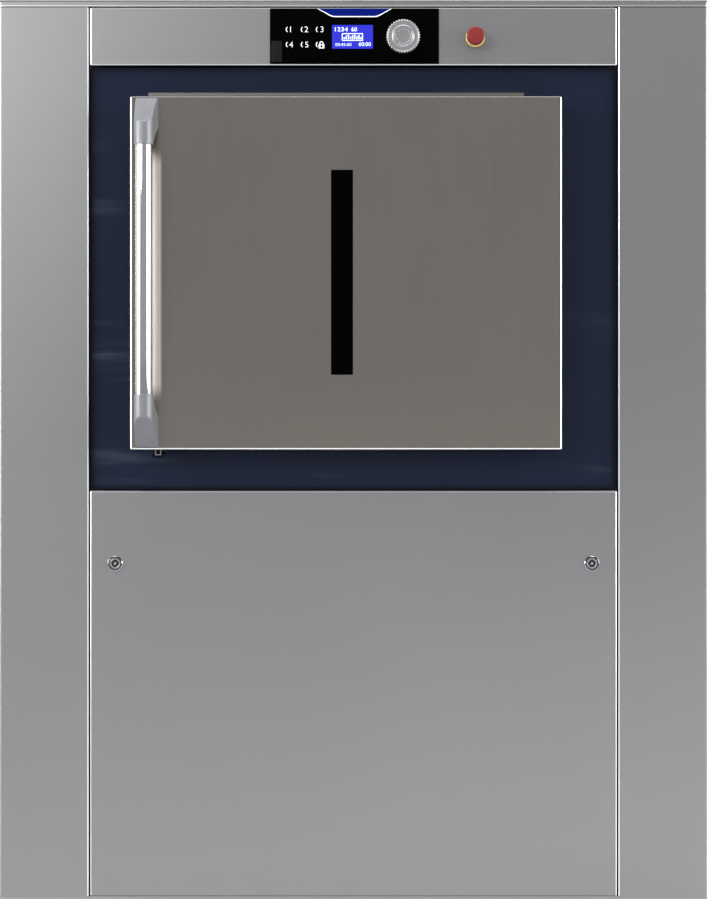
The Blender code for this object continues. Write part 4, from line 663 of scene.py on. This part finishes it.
def emergencyStop(side):
    # A mushroom cap with a faintly scalloped skirt, and a collar that leans in towards its front:
    # each a profile turned about the button's axis.
    turn = sideTurns[side]
    low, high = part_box("front_estop_cap")
    centre = ((low.x + high.x) / 2, (low.z + high.z) / 2)
    radius = (high.x - low.x) / 2
    collarLow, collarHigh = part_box("front_estop_collar")
    collarRadius = (collarHigh.x - collarLow.x) / 2
    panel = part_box("front_fascia")[0].y - stopSizes["offPanel"]
    under = collarLow.y - stopSizes["overCollar"]
    crown = stopSizes["capCrown"]
    lean = stopSizes["skirtLean"]
    stem = stopSizes["stem"]
    cap = filleted([(low.y, 0, 0), (low.y + crown * 0.25, radius * 0.5, stopSizes["crownSoft"]),
                    (low.y + crown, radius - lean, stopSizes["capEdge"]),
                    (low.y + stopSizes["skirtDepth"], radius - lean * 0.6, stopSizes["crownSoft"]),
                    (under - stopSizes["skirtFoot"], radius, 0.001), (under, radius, 0.0006),
                    (under, stem, 0.0005), (high.y, stem, 0.0005), (high.y, 0, 0)], 6)
    cap[0, 1] = cap[-1, 1] = radius * stopSizes["poleShare"]

    def ripple(angle, share):
        return 1 - stopSizes["scallopShare"] * np.clip(share * 2 - 1, 0, 1) * (
            0.5 + 0.5 * np.cos(angle * stopSizes["scallops"]))

    made = surfacePiece(f"{side}StopCap", [(turned(cap, "Y", centre, 96, ripple) * turn, False)],
                        finishes["red_plastic"], f"{side}_stop_button", 50)
    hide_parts(f"{side}_estop_cap")
    hole = stem + stopSizes["stemPlay"]
    barrel = stopSizes["barrel"]
    edge, small = stopSizes["collarEdge"], stopSizes["smallEdge"]
    leanDown, leanIn = stopSizes["collarLean"]
    ring = filleted([(collarLow.y, hole, small), (collarLow.y, collarRadius - leanIn, edge),
                     (collarLow.y + leanDown, collarRadius, edge), (panel, collarRadius, small),
                     (panel, barrel, small), (collarHigh.y, barrel, small),
                     (collarHigh.y, hole, small)], 4, True)
    collar = surfacePiece(f"{side}StopCollar", [(turned(ring, "Y", centre, 96) * turn, True)],
                          finishes["yellow_plastic"], "cabinet", 50)
    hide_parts(f"{side}_estop_collar")


for side in sideTurns:
    emergencyStop(side)
print("washer: emergency stops made")


# Program knob

knobSizes = {"ribs": 36, "ribShare": 0.08, "ribFrom": 0.93, "ribFade": 16, "rim": 0.0017,
             "bowlRadius": 0.0152, "bowlDepth": 0.0030, "lipWidth": 0.0032, "faceSink": 0.0010,
             "skirtEnd": 0.004, "neckStart": 0.003, "neckShare": 0.93, "footShare": 0.9,
             "bore": 0.0044, "boreRoof": 0.0035, "poleShare": 0.01}
studSizes = {"count": 14, "ring": 0.0120, "length": 0.0021, "width": 0.0010, "rise": 0.0010,
             "sunk": 0.0001, "poleShare": 0.05}


def programKnob():
    # A turned head with a round bowl in its face. Its rim and side are pressed in by
    # 1 - |sin(ribs * angle / 2)|, which leaves a crest between each two flutes. A ring of studs
    # stands on the bowl's floor, each a dome: length and width go by cos(t), rise by sin(t).
    low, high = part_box("program_knob")
    centre = ((low.x + high.x) / 2, (low.z + high.z) / 2)
    radius = (high.x - low.x) / 2
    rim = knobSizes["rim"]
    bowl = knobSizes["bowlRadius"]
    floor = low.y + knobSizes["bowlDepth"]
    face = low.y + knobSizes["faceSink"]
    lipWidth = knobSizes["lipWidth"]
    bore = knobSizes["bore"]
    roof = floor + knobSizes["boreRoof"]
    profile = filleted([(floor, 0, 0), (floor, bowl, 0.0012),
                        (low.y + knobSizes["faceSink"] * 0.3, bowl + lipWidth * 0.3, 0.0005),
                        (low.y + knobSizes["faceSink"] * 0.2, bowl + lipWidth * 0.6, 0.0004),
                        (face, bowl + lipWidth, 0.0006), (face, radius - rim * 2.0, 0.0005),
                        (low.y, radius - rim * 1.5, 0.0005), (low.y + rim * 0.8, radius, 0.0006),
                        (high.y - knobSizes["skirtEnd"], radius, 0.0008),
                        (high.y - knobSizes["neckStart"], radius * knobSizes["neckShare"], 0.0004),
                        (high.y, radius * knobSizes["footShare"], 0.0004), (high.y, bore, 0.0003),
                        (roof, bore, 0.0003), (roof, 0, 0)], 5)
    profile[0, 1] = profile[-1, 1] = radius * knobSizes["poleShare"]

    def ripple(angle, share):
        flute = 1 - np.abs(np.sin(angle * knobSizes["ribs"] / 2))
        outward = np.clip((share - knobSizes["ribFrom"]) * knobSizes["ribFade"], 0, 1)
        return 1 - knobSizes["ribShare"] * outward * flute

    knob = surfacePiece("programKnob", [(turned(profile, "Y", centre, 480, ripple), False)],
                        finishes["knob_silver"], "knob", 50)
    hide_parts("program_knob")
    t = np.linspace(0, np.pi / 2, 5)[:, None]
    around = np.linspace(0, 2 * np.pi, 12, endpoint=False)[None, :]
    along = studSizes["length"] * np.cos(t) * np.cos(around)
    across = studSizes["ring"] + studSizes["width"] * np.cos(t) * np.sin(around)
    out = floor + studSizes["sunk"] - studSizes["rise"] * np.sin(t) + 0 * around
    studs = []
    for turn in (np.arange(studSizes["count"]) + 0.5) * 2 * np.pi / studSizes["count"]:
        loops = np.stack([centre[0] + across * np.cos(turn) - along * np.sin(turn), out,
                          centre[1] + across * np.sin(turn) + along * np.cos(turn)], -1)
        loops[-1] = loops[-1].mean(0) + (loops[-2] - loops[-2].mean(0)) * studSizes["poleShare"]
        studs.append((loops, False))
    surfacePiece("knobStuds", studs, finishes["bright_steel"], "knob", 50)


programKnob()


# Port cover

coverSizes = {"corner": 0.0012, "edge": 0.0006, "leastCorner": 0.2}


def portCover():
    # A plate with rounded corners whose front edge is a quarter circle: loops that grow by
    # edge * sin(t) as they sink by edge * (1 - cos(t)).
    low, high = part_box("port_cover")
    corner, edge = coverSizes["corner"], coverSizes["edge"]
    t = np.linspace(0, np.pi / 2, 5)
    loops = [upright(roundedLoop((low.x + shrink, high.x - shrink), (low.z + shrink, high.z - shrink),
                                 max(corner - shrink, corner * coverSizes["leastCorner"])), low.y + sunk)
             for shrink, sunk in zip(edge * (1 - np.sin(t)), edge * (1 - np.cos(t)))]
    loops.append(upright(roundedLoop((low.x, high.x), (low.z, high.z), corner), high.y))
    cover = surfacePiece("portCover", [(np.stack(loops), False)], extraFinishes["cover"], "port_flap")
    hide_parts("port_cover")


portCover()
print("washer: knob and port cover made")


# Overlay: key numbers, padlock, blue tab and display

pixel = 0.001648      # metres a picture point at the panels
midColumn = 353.5
midRow = 449.5
middleHeight = 0.741
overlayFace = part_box("control_overlay")[0].y
inkSizes = {"thickness": 0.0001, "lineFront": 0.00022, "lineBack": 0.00002, "figureHalf": 0.00005,
            "figureScale": 1.42}


def pictureX(column):
    return (column - midColumn) * pixel


def pictureZ(row):
    return middleHeight + (midRow - row) * pixel


def picturePoints(places):
    places = np.asarray(places, float)
    return np.stack([pictureX(places[:, 0]), pictureZ(places[:, 1])], -1)


def pictureBox(columns, rows, corner, steps):
    return picturePoints(roundedLoop(columns, rows, corner, steps))


def overlayPiece(name, surfaces, finish):
    return surfacePiece(name, surfaces, extraFinishes[finish], "cabinet")


def plates(outlines, lift=skinGap):
    # Flat (x, z) shapes as thin plates on the overlay's face.
    front = overlayFace - lift - inkSizes["thickness"]
    return [(slab(outline, front, overlayFace - lift), False) for outline in outlines]


def band(outline, inside, lift=0.0):
    # A ring between two outlines with as many points each: front out, front in, back in, back out.
    front = overlayFace - inkSizes["lineFront"] - lift
    back = overlayFace - inkSizes["lineBack"] - lift
    return (np.stack([upright(outline, back), upright(outline, front), upright(inside, front),
                      upright(inside, back)]), True)


def textPoints(text, size, weight):
    # Plain figures from the built-in font, made a mesh flat in x and z.
    curve = bpy.data.curves.new("figures", "FONT")
    curve.body = text
    curve.size = size
    curve.offset = weight
    curve.extrude = inkSizes["figureHalf"]
    curve.resolution_u = 3
    curve.align_x = "CENTER"
    curve.align_y = "CENTER"
    source = bpy.data.objects.new("figures", curve)
    scene.collection.objects.link(source)
    bpy.context.view_layer.update()
    mesh = bpy.data.meshes.new_from_object(source.evaluated_get(bpy.context.evaluated_depsgraph_get()))
    bpy.data.objects.remove(source)
    flat = np.zeros(len(mesh.vertices) * 3)
    mesh.vertices.foreach_get("co", flat)
    faces = [list(face.vertices) for face in mesh.polygons]
    return flat.reshape(-1, 3), faces


def textPiece(name, entries, finish, lift):
    # entries are (text, column, row, height in picture points, weight, stretch)
    points = []
    faces = []
    for text, column, row, height, weight, stretch in entries:
        flat, textFaces = textPoints(text, height * pixel * inkSizes["figureScale"], weight)
        low, high = flat.min(0), flat.max(0)
        flat = flat - (low + high) / 2
        flat[:, :2] *= height * pixel / (high[1] - low[1])
        start = sum(len(part) for part in points)
        faces += [[corner + start for corner in face] for face in textFaces]
        points.append(np.stack([pictureX(column) + flat[:, 0] * stretch,
                                overlayFace - lift - flat[:, 2] - inkSizes["figureHalf"],
                                pictureZ(row) + flat[:, 1]], -1))
    return meshPiece(name, np.concatenate(points), faces, extraFinishes[finish], "cabinet")


# Places and lengths on the overlay are in picture points from here on, as pictureX and pictureZ
# take them. Weights and underEdge are in metres.
keySizes = {"height": 5.7, "weight": -0.00012, "markColumns": (286.6, 301.6, 316.6),
            "markRows": (30.4, 45.4), "markHalf": 2.5, "markReach": 2.6, "sweep": 0.32,
            "outer": (1.9, 0.85), "inner": (2.75, 0.90)}
keyFigures = {"1": (290.6, 30.2, 1.0), "2": (306.4, 30.2, 1.05), "3": (322.0, 30.2, 1.05),
              "4": (291.2, 45.4, 1.0), "5": (306.8, 45.4, 1.05)}   # column, row and stretch


def keyMark(column, row):
    # The touch mark beside a key: a thin crescent between two arcs of unlike centre and height.
    angle = np.linspace(1 - keySizes["sweep"], 1 + keySizes["sweep"], 9) * np.pi

    def arc(shift, share):
        return np.stack([column + shift + np.cos(angle) * keySizes["markReach"],
                         row - np.sin(angle) * keySizes["markHalf"] / share], -1)

    return picturePoints(np.concatenate([arc(*keySizes["outer"]), arc(*keySizes["inner"])[::-1]]))


textPiece("keyFigures", [(text, column, row, keySizes["height"], keySizes["weight"], stretch)
                         for text, (column, row, stretch) in keyFigures.items()], "ink", skinGap)
marks = [keyMark(column, row) for row in keySizes["markRows"] for column in keySizes["markColumns"]]
overlayPiece("keyMarks", plates(marks), "ink")

padlockSizes = {"centre": (321.5, 45.9), "body": (2.9, -0.9, 3.4), "bodyCorner": 0.5,
                "hole": (1.0, 0.1, 2.4), "holeCorner": 0.4, "outer": (2.1, 2.2), "inner": (1.25, 1.35),
                "archRow": -1.6, "legRow": -0.7}


def padlock():
    # A body with a keyhole-sized gap and a shackle bent over it: two arches with straight legs.
    centre = np.array(padlockSizes["centre"])

    def plate(half, top, foot, corner):
        return pictureBox((centre[0] - half, centre[0] + half), (centre[1] + top, centre[1] + foot),
                          corner, 3)

    def arch(half, rise):
        angle = np.linspace(np.pi, 0, 11)
        bow = np.stack([half * np.cos(angle), padlockSizes["archRow"] - rise * np.sin(angle)], -1)
        return centre + np.concatenate([[(-half, padlockSizes["legRow"])], bow,
                                        [(half, padlockSizes["legRow"])]])

    body = plate(*padlockSizes["body"], padlockSizes["bodyCorner"])
    hole = plate(*padlockSizes["hole"], padlockSizes["holeCorner"])
    shackle = picturePoints(np.concatenate([arch(*padlockSizes["outer"]),
                                            arch(*padlockSizes["inner"])[::-1]]))
    front = overlayFace - inkSizes["lineFront"]
    back = overlayFace - inkSizes["lineBack"]
    overlayPiece("padlockMark", [band(body, hole), (slab(shackle, front, back), False)], "ink")


padlock()

tabSizes = {"top": 8.75, "foot": 17.0, "topColumns": (316.9, 392.2), "footColumns": (332.6, 376.8),
            "topGrow": 1.2, "footGrow": 0.6, "corner": 3.2, "line": 0.95, "underEdge": 0.0004}


def blueTab():
    # A tab that hangs from the overlay's top edge: two slanted sides and a flat foot.
    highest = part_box("control_overlay")[1].z - tabSizes["underEdge"]

    def outline(grow):
        top, foot = tabSizes["topColumns"], tabSizes["footColumns"]
        topGrow, footGrow = grow * tabSizes["topGrow"], grow * tabSizes["footGrow"]
        places = [(top[0] - topGrow, tabSizes["top"]), (foot[0] - footGrow, tabSizes["foot"] + grow),
                  (foot[1] + footGrow, tabSizes["foot"] + grow), (top[1] + topGrow, tabSizes["top"])]
        points = picturePoints(softened(places, tabSizes["corner"], 6, True))
        points[:, 1] = np.minimum(points[:, 1], highest)
        return points

    overlayPiece("blueTab", plates([outline(0)]), "tab")
    overlayPiece("tabOutline", [band(outline(tabSizes["line"]), outline(0))], "ink")


blueTab()

screenSizes = {"screen": ((332.1, 372.9), (25.9, 49.5)), "screenCorner": 0.4,
               "frameOut": ((341.8, 363.0), (34.1, 41.7)), "frameIn": ((342.7, 362.1), (35.0, 40.8)),
               "frameCorner": 0.3, "firstBar": 343.6, "barPitch": 2.1, "barWidth": 1.3, "barFoot": 40.2,
               "barCorner": 0.2, "bars": (2.2, 3.8, 4.6, 2.8, 4.2, 4.6, 3.2, 4.4, 2.4)}
screenFigures = [("1234", 341.4, 30.2, 4.2, 0.00012, 1.25), ("60", 354.2, 30.2, 4.2, 0.00012, 1.05),
                 ("00:45:00", 343.4, 45.4, 3.0, 0.00002, 1.12), ("60:00", 364.8, 45.0, 3.9, 0.00012, 1.05)]


def display():
    # A lit screen with rows of plain numbers and bars.
    screen = pictureBox(*screenSizes["screen"], screenSizes["screenCorner"], 2)
    overlayPiece("displayScreen", plates([screen]), "display")
    lift = skinGap * 2.5
    textPiece("displayFigures", screenFigures, "segment", lift)
    frameOut = pictureBox(*screenSizes["frameOut"], screenSizes["frameCorner"], 2)
    frameIn = pictureBox(*screenSizes["frameIn"], screenSizes["frameCorner"], 2)
    foot = screenSizes["barFoot"]
    bars = []
    for i, height in enumerate(screenSizes["bars"]):
        start = screenSizes["firstBar"] + screenSizes["barPitch"] * i
        bars.append(pictureBox((start, start + screenSizes["barWidth"]), (foot - height, foot),
                               screenSizes["barCorner"], 2))
    overlayPiece("displayBars", [band(frameOut, frameIn, skinGap * 2)] + plates(bars, lift), "segment")


display()
print("washer: overlay printing and display made")


# Quarter-turn locks

lockSizes = {"recess": 0.0015, "ringOut": 0.0086, "ringIn": 0.0064, "ringRise": 0.0012,
             "ringLean": (0.0006, 0.0004), "ringEdge": 0.0004, "socket": 0.0055, "socketEdge": 0.0018,
             "insert": (0.0004, 0.00005), "pin": 0.0022, "pinRise": (0.0009, 0.0011),
             "pinEdge": (0.0001, 0.0005), "pole": 0.0002, "wellOut": 0.0112, "wellIn": 0.0093,
             "wellRise": 0.0002, "wellSink": 0.0001, "wellEdge": 0.00008}


def lockPieces(name):
    # A raised ring in the head's recess, a dark insert with a square socket, a pin in its middle,
    # and a dark rim round the head's face.
    low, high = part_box(f"quarter_lock_{name}")
    radius = (high.z - low.z) / 2
    centreX = low.x + radius if name == "right" else high.x - radius
    centreZ = (low.z + high.z) / 2
    centre = (centreX, centreZ)
    floor = low.y + lockSizes["recess"]
    top = floor - lockSizes["ringRise"]
    outLean, inLean = lockSizes["ringLean"]
    ring = softened([(floor, lockSizes["ringOut"]), (top, lockSizes["ringOut"] - outLean),
                     (top, lockSizes["ringIn"] + inLean), (floor, lockSizes["ringIn"])],
                    lockSizes["ringEdge"], 3, True)
    pole, pin = lockSizes["pole"], lockSizes["pin"]
    rise, crown = lockSizes["pinRise"]
    footEdge, topEdge = lockSizes["pinEdge"]
    pinProfile = filleted([(floor, pole, 0), (floor, pin, footEdge), (floor - rise, pin, topEdge),
                           (floor - crown, pole, 0)], 3)
    half = lockSizes["socket"] * math.sqrt(2)
    corners = softened([(centreX, centreZ + half), (centreX - half, centreZ), (centreX, centreZ - half),
                        (centreX + half, centreZ)], lockSizes["socketEdge"], 4, True)
    insertFront, insertBack = lockSizes["insert"]
    wellLow, wellHigh = low.y + lockSizes["wellSink"], low.y - lockSizes["wellRise"]
    well = softened([(wellLow, lockSizes["wellIn"]), (wellHigh, lockSizes["wellIn"]),
                     (wellHigh, lockSizes["wellOut"]), (wellLow, lockSizes["wellOut"])],
                    lockSizes["wellEdge"], 2, True)
    pieces = {
        "Ring": ([(turned(ring, "Y", centre), True), (turned(pinProfile, "Y", centre, 36), False)],
                 finishes["bright_steel"]),
        "Insert": ([(slab(corners, floor - insertFront, floor - insertBack), False)],
                   extraFinishes["insert"]),
        "Well": ([(turned(well, "Y", centre), True)], extraFinishes["blackened"]),
    }
    for kind, (surfaces, finish) in pieces.items():
        surfacePiece(f"{name}Lock{kind}", surfaces, finish, f"{name}_panel_lock", 40)


for name in ("left", "right"):
    lockPieces(name)
print("washer: locks made")


# Foot skirt

skirtSizes = {"sheet": 0.0012, "overFloor": 0.0002, "corner": 0.001}


def footSkirt():
    # A strip of sheet round the foot pads, flush with the panels: two nested rectangles,
    # each at the floor and at the panels' lower edge.
    sideLow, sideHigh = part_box("left_side_panel")[0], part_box("right_side_panel")[1]
    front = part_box("front_service_panel")[0].y
    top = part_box("front_service_panel")[0].z
    loops = []
    for inset, height in ((0, skirtSizes["overFloor"]), (0, top), (skirtSizes["sheet"], top),
                          (skirtSizes["sheet"], skirtSizes["overFloor"])):
        corners = roundedLoop((sideLow.x + inset, sideHigh.x - inset), (front + inset, -front - inset),
                              skirtSizes["corner"], 3)
        loops.append(np.column_stack([corners, np.full(len(corners), height)]))
    colour, roughness, sizes, plain = sheetSlots["satin_steel"]
    finish = steelFinish("skirtSteel", colour, roughness, sizes, **plain)
    surfacePiece("footSkirt", [(np.stack(loops), True)], finish, "cabinet")


footSkirt()
print("washer: foot skirt made")


# Floor, lamps, world and camera

stageSizes = {"floorHalf": 30.0, "floorTone": (0.79, 0.79, 0.80), "worldTone": (0.97, 0.98, 1.0, 1),
              "worldStrength": 0.5}
# Each lamp's place, the point it looks at, its size, watts and spread in degrees.
lamps = {
    "upperLeftLamp": ((-2.1, -3.8, 2.5), (-0.6, -0.5, 1.45), (1.1, 1.1), 7.4, 70),
    "rightLamp": ((3.5, -1.9, 1.6), (-0.3, -0.55, 1.0), (3.0, 1.9), 54, 120),
    "leftLamp": ((-2.9, -2.3, 1.5), (-0.3, -0.5, 0.9), (1.1, 2.0), 7, 80),
    "leftSideLamp": ((-3.6, -1.5, 1.6), (-0.3, -0.5, 0.9), (2.2, 2.0), 40, 120),
    "topLamp": ((0.0, -1.0, 3.6), (0.0, -0.2, 0.6), (2.6, 1.6), 40, 140),
    "floorLamp": ((0.8, -2.1, 1.1), (0.8, -2.0, 0.0), (2.6, 1.2), 12.5, 140),
    "rearLamp": ((0.5, 4.2, 3.0), (0.0, 0.4, 0.7), (3.4, 2.2), 45, 100),
}
cameraSizes = {"distance": 6.0, "height": 0.5, "lens": 133.6, "sensor": 36, "frameRows": 899,
               "raise": 0.3}   # raise is in picture points


def floorPlane():
    half = stageSizes["floorHalf"]
    mesh = bpy.data.meshes.new("floor")
    mesh.from_pydata([(-half, -half, 0), (half, -half, 0), (half, half, 0), (-half, half, 0)], [],
                     [(0, 1, 2, 3)])
    finish = plasticFinish("paleFloor", stageSizes["floorTone"], 0.6, 900.0, 0.00005)
    mesh.materials.append(finish.material)
    made = bpy.data.objects.new("floor", mesh)
    scene.collection.objects.link(made)


def areaLamp(name, place, target, size, watts, spread):
    lamp = bpy.data.lights.new(name, "AREA")
    lamp.shape = "RECTANGLE"
    lamp.size, lamp.size_y = size
    lamp.energy = watts
    lamp.spread = math.radians(spread)
    made = bpy.data.objects.new(name, lamp)
    made.location = place
    way = np.array(target, float) - np.array(place, float)
    made.rotation_euler = (math.atan2(math.hypot(way[0], way[1]), -way[2]), 0,
                           math.atan2(way[1], way[0]) - math.pi / 2)
    made.visible_camera = False
    scene.collection.objects.link(made)


def paleWorld():
    # The same pale grey all round, to the camera, in reflections and as ambient light.
    world = bpy.data.worlds.new("studio")
    world.use_nodes = True
    background = world.node_tree.nodes["Background"]
    background.inputs["Color"].default_value = stageSizes["worldTone"]
    background.inputs["Strength"].default_value = stageSizes["worldStrength"]
    scene.world = world


def frontCamera():
    camera = bpy.data.objects.new("camera", bpy.data.cameras.new("camera"))
    camera.location = (0, -cameraSizes["distance"], cameraSizes["height"])
    camera.rotation_euler = (math.pi / 2, 0, 0)
    camera.data.sensor_fit = "VERTICAL"
    camera.data.sensor_height = cameraSizes["sensor"]
    camera.data.lens = cameraSizes["lens"]
    camera.data.shift_y = ((middleHeight - cameraSizes["height"]) / (cameraSizes["frameRows"] * pixel)
                           - cameraSizes["raise"] / cameraSizes["frameRows"])
    scene.collection.objects.link(camera)
    scene.camera = camera


for name, details in lamps.items():
    areaLamp(name, *details)
floorPlane()
paleWorld()
frontCamera()
scene.view_settings.view_transform = "Standard"
print("washer: stage, lamps and camera set")
